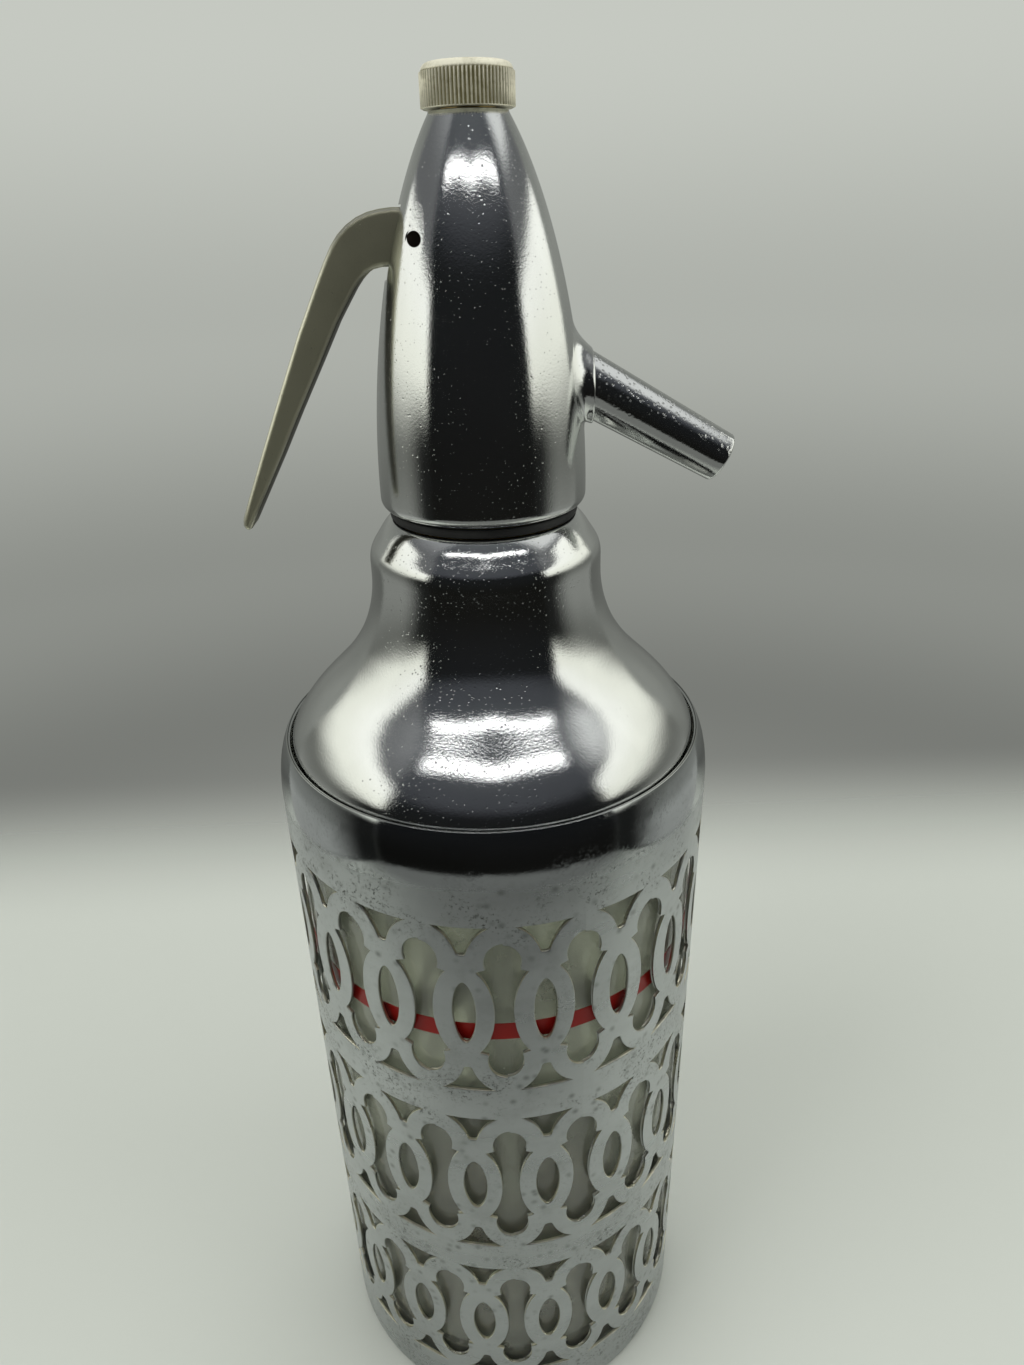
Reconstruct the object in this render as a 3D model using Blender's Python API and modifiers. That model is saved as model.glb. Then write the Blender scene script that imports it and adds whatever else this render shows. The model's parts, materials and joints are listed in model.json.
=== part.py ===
"""Soda siphon: glass bottle in a pierced steel jacket, chromed shoulder and lever head.

Metres, +Z up. The origin is the middle of the underside of the foot pad, on the bottle's axis.
The spout points along +X and the lever hangs on the -X side.
"""

import math

import bmesh
import bpy
from mathutils import Matrix, Vector

MM = 0.001

# Clearances and counts that every piece shares
GAP = 0.3 * MM
OVERRUN = 2.0 * MM
STEPS_LARGE = 36
STEPS_MEDIUM = 24
STEPS_SMALL = 16
MERGE = 0.00001

# Foot: rubber pad, pressed steel cup and the cushion that the bottle stands on
PAD_RADIUS = 49.0 * MM
PAD_HEIGHT = 2.0 * MM
CUP_FLOOR = 1.0 * MM
CUP_WALL = 0.8 * MM
CUP_RIM = 5.0 * MM
CUSHION_RADIUS = 38.0 * MM
CUSHION_HEIGHT = 3.0 * MM

# Glass bottle
GLASS_RADIUS = 52.3 * MM
GLASS_WALL = 4.8 * MM
GLASS_FLOOR = 8.0 * MM
GLASS_HEEL = 9.0 * MM
GLASS_BELOW_LIP = 4.5 * MM
GLASS_SHOULDER_HEIGHT = 43.0 * MM
GLASS_NECK_RADIUS = 13.5 * MM
GLASS_NECK_BORE = 9.5 * MM
GLASS_NECK_HEIGHT = 18.0 * MM
GLASS_BEAD_RADIUS = 16.3 * MM
GLASS_BEAD_HEIGHT = 8.0 * MM
GLASS_LIP_HEIGHT = 4.0 * MM
GLASS_HEEL_POINTS = 3
GLASS_CURVE_POINTS = 6

# Pierced jacket
SHEET = 0.9 * MM
JACKET_CLEARANCE = 0.8 * MM
JACKET_FLARE = 0.6 * MM
JACKET_FOOT_Z = 1.5 * MM
JACKET_FOOT_BAND = 15.0 * MM
ROW_COUNT = 3
ROW_HEIGHT = 50.8 * MM
ROW_GAP = 10.5 * MM
JACKET_TOP_BAND = 10.1 * MM
LIP_HEIGHT = 13.5 * MM
LIP_TURN_IN = 2.8 * MM
LIP_TURN = math.radians(60)
LIP_POINTS = 4
MOTIF_PITCH = 18.9 * MM
MOTIF_TURN = math.radians(9.6)
EDGE_CUTS = 1
LENS_HALF_WIDTH = 2.8 * MM
LENS_HALF_HEIGHT = 9.3 * MM
LENS_BELLY_SHARES = (0.93, 0.42)
LOOP_WAIST = 2.5 * MM
LOOP_WAIST_HALF_HEIGHT = 4.2 * MM
LOOP_NOTCH = 5.8 * MM
LOOP_NOTCH_HALF_HEIGHT = 12.6 * MM
LOOP_LOBE = 4.3 * MM
LOOP_HALF_HEIGHT = 20.9 * MM
LOOP_END_SHARES = (0.68, 0.68)
SPANDREL_HALF_WIDTH = 6.1 * MM
SPANDREL_HEIGHT = 7.4 * MM

# Collar halves, coupling and gaskets at the neck
COLLAR_RADIUS = 18.0 * MM
COLLAR_HEIGHT = 5.7 * MM
COLLAR_SPLIT = 0.6 * MM
COUPLING_SHELF = 3.7 * MM
COUPLING_THREAD_WALL = 2.0 * MM
COUPLING_FLANGE = 2.2 * MM
COUPLING_REACH = 8.5 * MM
GASKET_HEIGHT = 2.0 * MM

# Chromed shoulder
DOME_NECK_RADIUS = 27.0 * MM
DOME_LIP_LAND = 0.8 * MM
DOME_CHAMFER_RUN = 4.6 * MM
DOME_CHAMFER_DROP = 5.4 * MM
DOME_BEAD_DROP = 5.2 * MM
DOME_SKIRT = 6.0 * MM
DOME_UPPER_HANDLE = 25.0 * MM
DOME_LOWER_HANDLE_IN = 0.3 * MM
DOME_LOWER_HANDLE_UP = 7.5 * MM
DOME_CURVE_POINTS = 8
SEAL_RING_WIDTH = 0.9 * MM
SEAL_RING_HEIGHT = 1.9 * MM

# Head casting
HEAD_RADIUS = 23.3 * MM
HEAD_EDGE = 2.4 * MM
HEAD_HEIGHT = 76.7 * MM
HEAD_TOP_RADIUS = 8.0 * MM
HEAD_LOWER_HANDLE_OUT = 0.2 * MM
HEAD_LOWER_HANDLE_UP = 29.0 * MM
HEAD_UPPER_HANDLE_OUT = 9.1 * MM
HEAD_UPPER_HANDLE_DOWN = 15.8 * MM
HEAD_CURVE_POINTS = 12
HEAD_EDGE_POINTS = 3
THREAD_RUNOUT = 2.2 * MM
FORK_ROOM_RADIUS = 7.0 * MM
FORK_ROOM_Z = 46.8 * MM
FORK_ROOM_HEIGHT = 16.2 * MM

# Spout and its boss
SPOUT_ANGLE = math.radians(29.4)
SPOUT_AXIS_Z = 38.6 * MM
SPOUT_REACH = 62.3 * MM
SPOUT_START = 15.5 * MM
SPOUT_ROOT_RADIUS = 6.7 * MM
SPOUT_END_RADIUS = 5.6 * MM
SPOUT_BORE = 4.1 * MM
SPOUT_EDGE = 0.6 * MM
BOSS_START = 12.0 * MM
BOSS_ROOT_RADIUS = 11.4 * MM
BOSS_WALL = 0.7 * MM
BOSS_STAND_OUT = 2.9 * MM
BOSS_FLARE = 6.0 * MM
PORT_RADIUS = 3.0 * MM

# Valve in the head
BODY_RADIUS = 9.0 * MM
BODY_SOCKET = 7.0 * MM
CHAMBER_RADIUS = 5.6 * MM
CHAMBER_HEIGHT = 16.0 * MM
BODY_ROOF = 2.2 * MM
SEAL_POCKET_HEIGHT = 2.4 * MM
SEAL_CORD = 0.7 * MM
SEAL_SQUEEZE_ROOM = 0.35 * MM
GLAND_HEIGHT = 2.0 * MM
GLAND_WALL = 1.7 * MM
DIP_NUT_HEIGHT = 8.8 * MM
SEAT_HEIGHT = 11.7 * MM
SEAT_ORIFICE = 2.0 * MM
SEAT_LIP_WIDTH = 1.2 * MM
SEAT_LIP_HEIGHT = 0.6 * MM
DIP_RADIUS = 3.0 * MM
DIP_BORE = 1.8 * MM
DIP_SOCKET = 4.0 * MM
DIP_FLOOR_ROOM = 6.0 * MM

# Stem that the lever lifts
STEM_RADIUS = 2.6 * MM
STEM_BORE = 1.1 * MM
STEM_SPIGOT = 1.9 * MM
STEM_CUP_RADIUS = 4.6 * MM
STEM_CUP_WALL = 0.5 * MM
STEM_CUP_SKIRT = 1.5 * MM
STEM_CUP_TOP = 1.8 * MM
STEM_ABOVE_COLLAR = 5.9 * MM
DISC_HEIGHT = 2.7 * MM
COLLAR_NUT_RADIUS = 5.2 * MM
COLLAR_NUT_HEIGHT = 3.0 * MM

# Lever and its pin
PIVOT_X = -11.4 * MM
PIVOT_Z = 55.0 * MM
PIN_RADIUS = 1.5 * MM
PIN_HALF_LENGTH = 10.0 * MM
LEVER_THICKNESS = 9.0 * MM
LEVER_BEVEL = 1.0 * MM
LEVER_SLOT_CLEARANCE = 0.4 * MM
LEVER_SQUEEZE = math.radians(14.0)
FORK_TOP = 1.2 * MM
FORK_BOTTOM = 2.4 * MM
FORK_TIP = 1.5 * MM
FORK_GAP_CLEARANCE = 0.4 * MM
LEVER_NOSE = 2.6 * MM
LEVER_ROOT_TOP = 5.4 * MM
LEVER_ROOT_BOTTOM = 5.2 * MM
LEVER_ELBOW_OUT = 12.5 * MM
LEVER_ELBOW_DROP = 1.2 * MM
LEVER_KNEE_OUT = 18.4 * MM
LEVER_KNEE_DROP = 2.6 * MM
LEVER_TIP_OUT = 43.3 * MM
LEVER_TIP_DROP = 57.7 * MM
LEVER_TIP_THICKNESS = 2.5 * MM
LEVER_INNER_OUT = 8.3 * MM
LEVER_INNER_BEND_OUT = 13.2 * MM
LEVER_INNER_BEND_DROP = 9.6 * MM
LEVER_INNER_MID_OUT = 27.4 * MM
LEVER_INNER_MID_DROP = 34.0 * MM
LEVER_CURVE_POINTS = 7

# Charging valve on top and its knurled cap
NIPPLE_RADIUS = 5.6 * MM
NIPPLE_SEAT_DEPTH = 7.2 * MM
NIPPLE_STAND_OUT = 4.7 * MM
NIPPLE_INLET = 1.3 * MM
NIPPLE_INLET_DEPTH = 3.0 * MM
CHECK_CHAMBER = 2.3 * MM
RETAINER_HEIGHT = 1.5 * MM
RETAINER_BORE = 0.8 * MM
BALL_RADIUS = 1.6 * MM
BALL_TRAVEL = 0.8 * MM
CAP_RADIUS = 9.15 * MM
CAP_CHAMFER = 1.3 * MM
CAP_TOP = 1.5 * MM
CAP_WASHER_HEIGHT = 1.0 * MM
KNURL_COUNT = 30
KNURL_DEPTH = 0.4 * MM

# Springs
RETURN_WIRE = 1.1 * MM
RETURN_COIL_RADIUS = 4.1 * MM
RETURN_TURNS = 4
CHECK_WIRE = 0.4 * MM
CHECK_COIL_RADIUS = 1.5 * MM
CHECK_TURNS = 3
COIL_POINTS = 9

# Levels and radii that follow from the sizes above
CUP_Z = PAD_HEIGHT + GAP
CUSHION_Z = CUP_Z + CUP_FLOOR + GAP
BOTTLE_Z = CUSHION_Z + CUSHION_HEIGHT + GAP
JACKET_RADIUS = GLASS_RADIUS + JACKET_CLEARANCE + SHEET
MOTIF_COUNT = round(2 * math.pi * JACKET_RADIUS / MOTIF_PITCH)
MOTIF_EDGE = math.pi * JACKET_RADIUS / MOTIF_COUNT
PATTERN_Z = JACKET_FOOT_Z + JACKET_FOOT_BAND
PATTERN_TOP_Z = PATTERN_Z + ROW_COUNT * ROW_HEIGHT + (ROW_COUNT - 1) * ROW_GAP
JACKET_STRAIGHT_Z = PATTERN_TOP_Z + JACKET_TOP_BAND
JACKET_TOP_Z = JACKET_STRAIGHT_Z + LIP_HEIGHT
JACKET_TOP_RADIUS = JACKET_RADIUS + JACKET_FLARE
LIP_RADIUS = JACKET_TOP_RADIUS - LIP_TURN_IN
GLASS_STRAIGHT_Z = JACKET_STRAIGHT_Z - GLASS_BELOW_LIP
GLASS_NECK_Z = GLASS_STRAIGHT_Z + GLASS_SHOULDER_HEIGHT
BEAD_Z = GLASS_NECK_Z + GLASS_NECK_HEIGHT
BEAD_TOP_Z = BEAD_Z + GLASS_BEAD_HEIGHT
MOUTH_Z = BEAD_TOP_Z + GLASS_LIP_HEIGHT
COLLAR_TOP_Z = BEAD_Z - GAP
COLLAR_Z = COLLAR_TOP_Z - COLLAR_HEIGHT
COUPLING_SHELF_Z = COLLAR_Z - GAP
COUPLING_Z = COUPLING_SHELF_Z - COUPLING_SHELF
COUPLING_INNER = COLLAR_RADIUS + GAP
COUPLING_THREAD = COUPLING_INNER + COUPLING_THREAD_WALL
COUPLING_LAND = COUPLING_THREAD + COUPLING_FLANGE
BODY_SKIRT_RADIUS = COUPLING_INNER - GAP
GASKET_Z = MOUTH_Z + GAP
BODY_Z = GASKET_Z + GASKET_HEIGHT + GAP
HEAD_Z = BODY_Z - THREAD_RUNOUT + GAP / 3
DOME_INNER = COUPLING_THREAD + GAP
SEAL_RING_Z = HEAD_Z - GAP - SEAL_RING_HEIGHT
DOME_TOP_Z = SEAL_RING_Z - GAP
DOME_CHAMFER_Z = DOME_TOP_Z - DOME_CHAMFER_DROP
DOME_NECK_Z = DOME_CHAMFER_Z - DOME_BEAD_DROP
DOME_CHAMFER_RADIUS = DOME_INNER + DOME_LIP_LAND + DOME_CHAMFER_RUN
DOME_SKIRT_RADIUS = LIP_RADIUS - SHEET - GAP
COUPLING_LAND_Z = DOME_TOP_Z - SHEET - GAP - (COUPLING_FLANGE - DOME_LIP_LAND) * (
    DOME_CHAMFER_DROP / DOME_CHAMFER_RUN) - SHEET
COUPLING_TOP_Z = HEAD_Z + COUPLING_REACH
HEAD_BORE = COUPLING_THREAD + GAP
HEAD_BORE_Z = COUPLING_TOP_Z + THREAD_RUNOUT
HEAD_TOP_Z = HEAD_Z + HEAD_HEIGHT
BARREL_BORE = BODY_RADIUS + GAP
SEAT_Z = BODY_Z + DIP_NUT_HEIGHT + GAP
SEAT_TOP_Z = SEAT_Z + SEAT_HEIGHT
SEAT_LIP_Z = SEAT_TOP_Z + SEAT_LIP_HEIGHT
CHAMBER_TOP_Z = SEAT_TOP_Z + CHAMBER_HEIGHT
ROOF_Z = CHAMBER_TOP_Z + BODY_ROOF
BODY_TOP_Z = ROOF_Z + SEAL_POCKET_HEIGHT
GUIDE_BORE = STEM_RADIUS + GAP
SEAL_MEAN_RADIUS = GUIDE_BORE + SEAL_CORD
SEAL_POCKET = SEAL_MEAN_RADIUS + SEAL_CORD + SEAL_SQUEEZE_ROOM
SEAL_Z = ROOF_Z + GAP + SEAL_CORD
GLAND_Z = SEAL_Z + SEAL_CORD + GAP
GLAND_RADIUS = GUIDE_BORE + GLAND_WALL
DISC_Z = SEAT_LIP_Z + GAP
DISC_TOP_Z = DISC_Z + DISC_HEIGHT
STEM_CUP_Z = DISC_TOP_Z + GAP
DIP_TOP_Z = SEAT_Z + DIP_SOCKET
DIP_Z = BOTTLE_Z + GLASS_FLOOR + DIP_FLOOR_ROOM
PIVOT = Vector((PIVOT_X, 0, HEAD_Z + PIVOT_Z))
FORK_ARM = FORK_TIP - PIVOT_X
NUT_Z = PIVOT.z + FORK_TOP + GAP
NUT_TOP_Z = NUT_Z + COLLAR_NUT_HEIGHT
STEM_TOP_Z = NUT_TOP_Z + STEM_ABOVE_COLLAR
NIPPLE_Z = HEAD_TOP_Z - NIPPLE_SEAT_DEPTH
NIPPLE_TOP_Z = HEAD_TOP_Z + NIPPLE_STAND_OUT
NIPPLE_BORE = NIPPLE_RADIUS + GAP
CHECK_SEAT_Z = NIPPLE_TOP_Z - NIPPLE_INLET_DEPTH
RETAINER_Z = NIPPLE_Z + GAP
RETAINER_TOP_Z = RETAINER_Z + RETAINER_HEIGHT
BALL_Z = CHECK_SEAT_Z - math.sqrt(BALL_RADIUS**2 - NIPPLE_INLET**2) - GAP
CAP_Z = HEAD_TOP_Z + GAP
CAP_WASHER_Z = NIPPLE_TOP_Z + GAP
CAP_ROOF_Z = CAP_WASHER_Z + CAP_WASHER_HEIGHT + GAP
CAP_TOP_Z = CAP_ROOF_Z + CAP_TOP
SPOUT_CROSSING = Vector((0, 0, HEAD_Z + SPOUT_AXIS_Z))
SPOUT_DIRECTION = Vector((math.cos(SPOUT_ANGLE), 0, -math.sin(SPOUT_ANGLE)))
BOSS_FACE_X = HEAD_RADIUS - HEAD_LOWER_HANDLE_OUT + BOSS_STAND_OUT


def clear_scene():
    for item in list(bpy.data.objects):
        bpy.data.objects.remove(item)


def collection(name):
    made = bpy.data.collections.new(name)
    bpy.context.scene.collection.children.link(made)
    return made


def material(name, color, roughness, metallic, alpha=1.0):
    """One Principled finish, shared by the pieces made of it."""
    made = bpy.data.materials.new(name)
    made.use_nodes = True
    shader = made.node_tree.nodes["Principled BSDF"]
    shader.inputs["Base Color"].default_value = (*color, 1.0)
    shader.inputs["Roughness"].default_value = roughness
    shader.inputs["Metallic"].default_value = metallic
    shader.inputs["Alpha"].default_value = alpha
    return made


def add_object(name, mesh, finish=None):
    """Link a mesh as a part, or as a cutter when it has no finish."""
    item = bpy.data.objects.new(name, mesh)
    if finish is None:
        CUTTERS.objects.link(item)
        item.hide_render = True
        item.display_type = "WIRE"
    else:
        PARTS.objects.link(item)
        item.data.materials.append(finish)
    return item


def boolean(item, cutter, operation="DIFFERENCE"):
    change = item.modifiers.new(cutter.name, "BOOLEAN")
    change.operation = operation
    change.object = cutter
    change.solver = "EXACT"


def turned(name, profile, finish, steps=STEPS_MEDIUM, closed=True):
    """Spin (radius, height) points about Z. The points run down the outer side.

    A closed profile makes a ring. An open one starts and ends on the axis.
    """
    mesh = bpy.data.meshes.new(name)
    count = len(profile)
    edges = [(i, i + 1) for i in range(count - 1)]
    if closed:
        edges.append((count - 1, 0))
    mesh.from_pydata([(radius, 0, height) for radius, height in profile], edges, [])
    item = add_object(name, mesh, finish)
    spin = item.modifiers.new("spin", "SCREW")
    spin.axis = "Z"
    spin.steps = steps
    spin.render_steps = steps
    spin.use_merge_vertices = True
    spin.merge_threshold = MERGE
    spin.use_smooth_shade = True
    spin.use_normal_calculate = False
    return item


def tube(name, inner, outer, low, high, finish, steps=STEPS_MEDIUM):
    """A plain ring of rectangular section."""
    return turned(name, [(inner, high), (outer, high), (outer, low), (inner, low)], finish, steps)


def cylinder(name, radius, start, direction, length, steps=STEPS_SMALL, finish=None):
    """A solid cylinder from start along direction."""
    mesh = bpy.data.meshes.new(name)
    form = bmesh.new()
    turn = direction.to_track_quat("Z", "Y").to_matrix().to_4x4()
    place = Matrix.Translation(start + direction * (length / 2)) @ turn
    bmesh.ops.create_cone(form, cap_ends=True, segments=steps, radius1=radius, radius2=radius,
                          depth=length, matrix=place)
    form.to_mesh(mesh)
    form.free()
    return add_object(name, mesh, finish)


def block(name, low, high, finish=None):
    """A box between two corners."""
    mesh = bpy.data.meshes.new(name)
    form = bmesh.new()
    size = high - low
    place = Matrix.Translation((low + high) / 2) @ Matrix.Diagonal((*size, 1))
    bmesh.ops.create_cube(form, size=1, matrix=place)
    form.to_mesh(mesh)
    form.free()
    return add_object(name, mesh, finish)


def bezier(start, first, second, end, count):
    """Points along a cubic curve, both ends included."""
    points = []
    for i in range(count):
        t = i / (count - 1)
        weights = ((1 - t)**3, 3 * (1 - t)**2 * t, 3 * (1 - t) * t**2, t**3)
        points.append(tuple(sum(w * p[k] for w, p in zip(weights, (start, first, second, end)))
                            for k in range(2)))
    return points


def arc(centre, radius_x, radius_z, start, end, count):
    """Points of a quarter or part ellipse, angles from +X towards +Z."""
    return [(centre[0] + radius_x * math.cos(start + (end - start) * i / (count - 1)),
             centre[1] + radius_z * math.sin(start + (end - start) * i / (count - 1)))
            for i in range(count)]


def offset_profile(points, distance):
    """Shift a profile that runs down its outer side towards the axis by distance."""
    shifted = []
    for i, (radius, height) in enumerate(points):
        before = points[max(i - 1, 0)]
        after = points[min(i + 1, len(points) - 1)]
        along = Vector((after[0] - before[0], after[1] - before[1])).normalized()
        shifted.append((radius + along.y * distance, height - along.x * distance))
    return shifted


def helix(name, wire, coil_radius, turns, low, high, finish):
    """One unbroken spring tube between two heights, its wire inside both of them."""
    bottom = low + wire / 2
    rise = high - low - wire
    count = turns * COIL_POINTS + 1
    points = []
    for i in range(count):
        angle = 2 * math.pi * i / COIL_POINTS
        points.append(Vector((coil_radius * math.cos(angle), coil_radius * math.sin(angle),
                              bottom + rise * i / (count - 1))))
    curve = bpy.data.curves.new(name, "CURVE")
    curve.dimensions = "3D"
    curve.bevel_depth = wire / 2
    curve.bevel_resolution = 1
    curve.use_fill_caps = True
    spline = curve.splines.new("POLY")
    spline.points.add(count - 1)
    for target, point in zip(spline.points, points):
        target.co = (*point, 1)
    rough = bpy.data.objects.new(name + "_path", curve)
    PARTS.objects.link(rough)
    evaluated = rough.evaluated_get(bpy.context.evaluated_depsgraph_get())
    mesh = bpy.data.meshes.new_from_object(evaluated)
    bpy.data.objects.remove(rough)
    form = bmesh.new()
    form.from_mesh(mesh)
    bmesh.ops.remove_doubles(form, verts=form.verts, dist=MERGE)
    form.to_mesh(mesh)
    form.free()
    mesh.materials.clear()
    mesh.shade_smooth()
    least = min((points[i] - points[j]).length - wire
                for i in range(count) for j in range(i + COIL_POINTS // 2, count))
    print(f"{name}: least gap between turns {least / MM:.2f} mm")
    return add_object(name, mesh, finish)


# Foot and bottle

def make_foot():
    turned("foot_pad", [(0, PAD_HEIGHT), (PAD_RADIUS, PAD_HEIGHT), (PAD_RADIUS, 0), (0, 0)],
           RUBBER, steps=STEPS_LARGE, closed=False)
    outer = JACKET_RADIUS - SHEET - JACKET_CLEARANCE
    floor = CUP_Z + CUP_FLOOR
    turned("base_cup", [(0, floor), (outer - CUP_WALL, floor), (outer - CUP_WALL, floor + CUP_RIM),
                        (outer, floor + CUP_RIM), (outer, CUP_Z), (0, CUP_Z)],
           STEEL, steps=STEPS_LARGE, closed=False)
    turned("bottle_cushion", [(0, CUSHION_Z + CUSHION_HEIGHT),
                              (CUSHION_RADIUS, CUSHION_Z + CUSHION_HEIGHT),
                              (CUSHION_RADIUS, CUSHION_Z), (0, CUSHION_Z)],
           CORK, STEPS_MEDIUM, closed=False)


def make_bottle():
    """Thick glass: heel, straight wall, round shoulder, neck with a gripping bead."""
    inner = GLASS_RADIUS - GLASS_WALL
    floor = BOTTLE_Z + GLASS_FLOOR
    heel = arc((GLASS_RADIUS - GLASS_HEEL, BOTTLE_Z + GLASS_HEEL), GLASS_HEEL, GLASS_HEEL,
               0, -math.pi / 2, GLASS_HEEL_POINTS)
    half = GLASS_SHOULDER_HEIGHT / 2
    shoulder = bezier((GLASS_NECK_RADIUS, GLASS_NECK_Z), (GLASS_NECK_RADIUS, GLASS_NECK_Z - half),
                      (GLASS_RADIUS, GLASS_STRAIGHT_Z + half), (GLASS_RADIUS, GLASS_STRAIGHT_Z),
                      GLASS_CURVE_POINTS)
    inside = bezier((inner, GLASS_STRAIGHT_Z), (inner, GLASS_STRAIGHT_Z + half),
                    (GLASS_NECK_BORE, GLASS_NECK_Z - half), (GLASS_NECK_BORE, GLASS_NECK_Z),
                    GLASS_CURVE_POINTS)
    outline = [(GLASS_NECK_RADIUS, MOUTH_Z), (GLASS_NECK_RADIUS, BEAD_TOP_Z),
               (GLASS_BEAD_RADIUS, BEAD_TOP_Z - GLASS_BEAD_HEIGHT / 4),
               (GLASS_BEAD_RADIUS, BEAD_Z), (GLASS_NECK_RADIUS, BEAD_Z)]
    outline += shoulder + heel + [(0, BOTTLE_Z), (0, floor)]
    outline += [(inner - GLASS_WALL, floor), (inner, floor + GLASS_WALL)] + inside
    outline += [(GLASS_NECK_BORE, MOUTH_Z)]
    loop = outline.index((0, BOTTLE_Z))
    profile = outline[loop + 1:] + outline[:loop + 1]
    turned("glass_bottle", profile, GLASS, steps=STEPS_LARGE, closed=False)


# Jacket

def half_loop_points(sign, low, high):
    """The half of a tall waisted opening that lies on one border of a motif, bottom to top.

    The opening has a lobe at each end, a notch under each lobe and a narrow waist, and it is
    centred on the border.
    """
    middle = (low + high) / 2
    lobe_z = (LOOP_NOTCH_HALF_HEIGHT + LOOP_HALF_HEIGHT) / 2
    wide, tall = LOOP_END_SHARES
    right = [(LOOP_LOBE * wide, lobe_z + (LOOP_HALF_HEIGHT - lobe_z) * tall),
             (LOOP_LOBE, lobe_z), (LOOP_NOTCH, LOOP_NOTCH_HALF_HEIGHT),
             (LOOP_WAIST, LOOP_WAIST_HALF_HEIGHT)]
    shape = [(0, LOOP_HALF_HEIGHT)] + right + [(x, -z) for x, z in reversed(right)]
    shape += [(0, -LOOP_HALF_HEIGHT)]
    return [(sign * (MOTIF_EDGE - x), middle + z) for x, z in reversed(shape)]


def lens_points(low, high):
    """A pointed oval in the middle of the motif."""
    middle = (low + high) / 2
    x = LENS_HALF_WIDTH * LENS_BELLY_SHARES[0]
    z = LENS_HALF_HEIGHT * LENS_BELLY_SHARES[1]
    return [(0, middle + LENS_HALF_HEIGHT), (x, middle + z), (x, middle - z),
            (0, middle - LENS_HALF_HEIGHT), (-x, middle - z), (-x, middle + z)]


def spandrel_points(flat_z, side):
    """A three-cornered opening with its flat side towards the plain band."""
    return [(-SPANDREL_HALF_WIDTH, flat_z), (SPANDREL_HALF_WIDTH, flat_z),
            (0, flat_z - side * SPANDREL_HEIGHT)]


def motif_outlines():
    """One motif of the pierced sheet laid flat: its outer outline, then its inner openings."""
    left, right, openings = [], [], []
    for row in range(ROW_COUNT):
        low = PATTERN_Z + row * (ROW_HEIGHT + ROW_GAP)
        high = low + ROW_HEIGHT
        left += half_loop_points(-1, low, high)
        right += half_loop_points(1, low, high)
        openings += [lens_points(low, high), spandrel_points(high, 1), spandrel_points(low, -1)]
    outline = [(-MOTIF_EDGE, JACKET_FOOT_Z), (MOTIF_EDGE, JACKET_FOOT_Z)] + right
    outline += [(MOTIF_EDGE, JACKET_STRAIGHT_Z), (-MOTIF_EDGE, JACKET_STRAIGHT_Z)]
    outline += list(reversed(left))
    return [outline] + openings


def flat_motif():
    """Fill the motif's outlines with faces."""
    curve = bpy.data.curves.new("motif", "CURVE")
    curve.dimensions = "2D"
    curve.fill_mode = "FRONT"
    for outline in motif_outlines():
        spline = curve.splines.new("POLY")
        spline.points.add(len(outline) - 1)
        spline.use_cyclic_u = True
        for target, (x, z) in zip(spline.points, outline):
            target.co = (x, z, 0, 1)
    flat = bpy.data.objects.new("motif", curve)
    PARTS.objects.link(flat)
    evaluated = flat.evaluated_get(bpy.context.evaluated_depsgraph_get())
    mesh = bpy.data.meshes.new_from_object(evaluated)
    bpy.data.objects.remove(flat)
    form = bmesh.new()
    form.from_mesh(mesh)
    ends = [edge for edge in form.edges if edge.is_boundary
            and edge.verts[0].co.y == edge.verts[1].co.y
            and edge.calc_length() > MOTIF_EDGE + SPANDREL_HALF_WIDTH]
    bmesh.ops.subdivide_edges(form, edges=ends, cuts=EDGE_CUTS)
    form.to_mesh(mesh)
    form.free()
    return mesh


def wrap(x, z):
    """Roll the flat sheet round the bottle, its front facing -Y."""
    angle = x / JACKET_RADIUS - math.pi / 2 - MOTIF_TURN
    radius = JACKET_RADIUS + JACKET_FLARE * (z - JACKET_FOOT_Z) / (JACKET_STRAIGHT_Z - JACKET_FOOT_Z)
    return Vector((radius * math.cos(angle), radius * math.sin(angle), z))


def make_jacket():
    motif = flat_motif()
    form = bmesh.new()
    for copy in range(MOTIF_COUNT):
        start = len(form.verts)
        form.from_mesh(motif)
        form.verts.ensure_lookup_table()
        for vertex in form.verts[start:]:
            vertex.co = wrap(vertex.co.x + copy * 2 * MOTIF_EDGE, vertex.co.y)
    bmesh.ops.remove_doubles(form, verts=form.verts, dist=MERGE)
    roll_lip(form)
    bmesh.ops.recalc_face_normals(form, faces=form.faces)
    mesh = bpy.data.meshes.new("jacket")
    form.to_mesh(mesh)
    form.free()
    mesh.shade_smooth()
    item = add_object("jacket", mesh, JACKET_STEEL)
    wall = item.modifiers.new("wall", "SOLIDIFY")
    wall.thickness = SHEET
    wall.offset = -1
    return item


def roll_lip(form):
    """Draw the jacket's top edge up and in, along part of an ellipse."""
    rim = [edge for edge in form.edges if edge.is_boundary
           and all(abs(v.co.z - JACKET_STRAIGHT_Z) < GAP / 3 for v in edge.verts)]
    for i in range(1, LIP_POINTS):
        turn = LIP_TURN * i / (LIP_POINTS - 1)
        inwards = (1 - math.cos(turn)) / (1 - math.cos(LIP_TURN))
        radius = JACKET_TOP_RADIUS - LIP_TURN_IN * inwards
        height = JACKET_STRAIGHT_Z + LIP_HEIGHT * math.sin(turn) / math.sin(LIP_TURN)
        grown = bmesh.ops.extrude_edge_only(form, edges=rim)["geom"]
        for vertex in (v for v in grown if isinstance(v, bmesh.types.BMVert)):
            flat = Vector((vertex.co.x, vertex.co.y)).normalized() * radius
            vertex.co = (flat.x, flat.y, height)
        rim = [e for e in grown if isinstance(e, bmesh.types.BMEdge)]


# Neck

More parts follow.
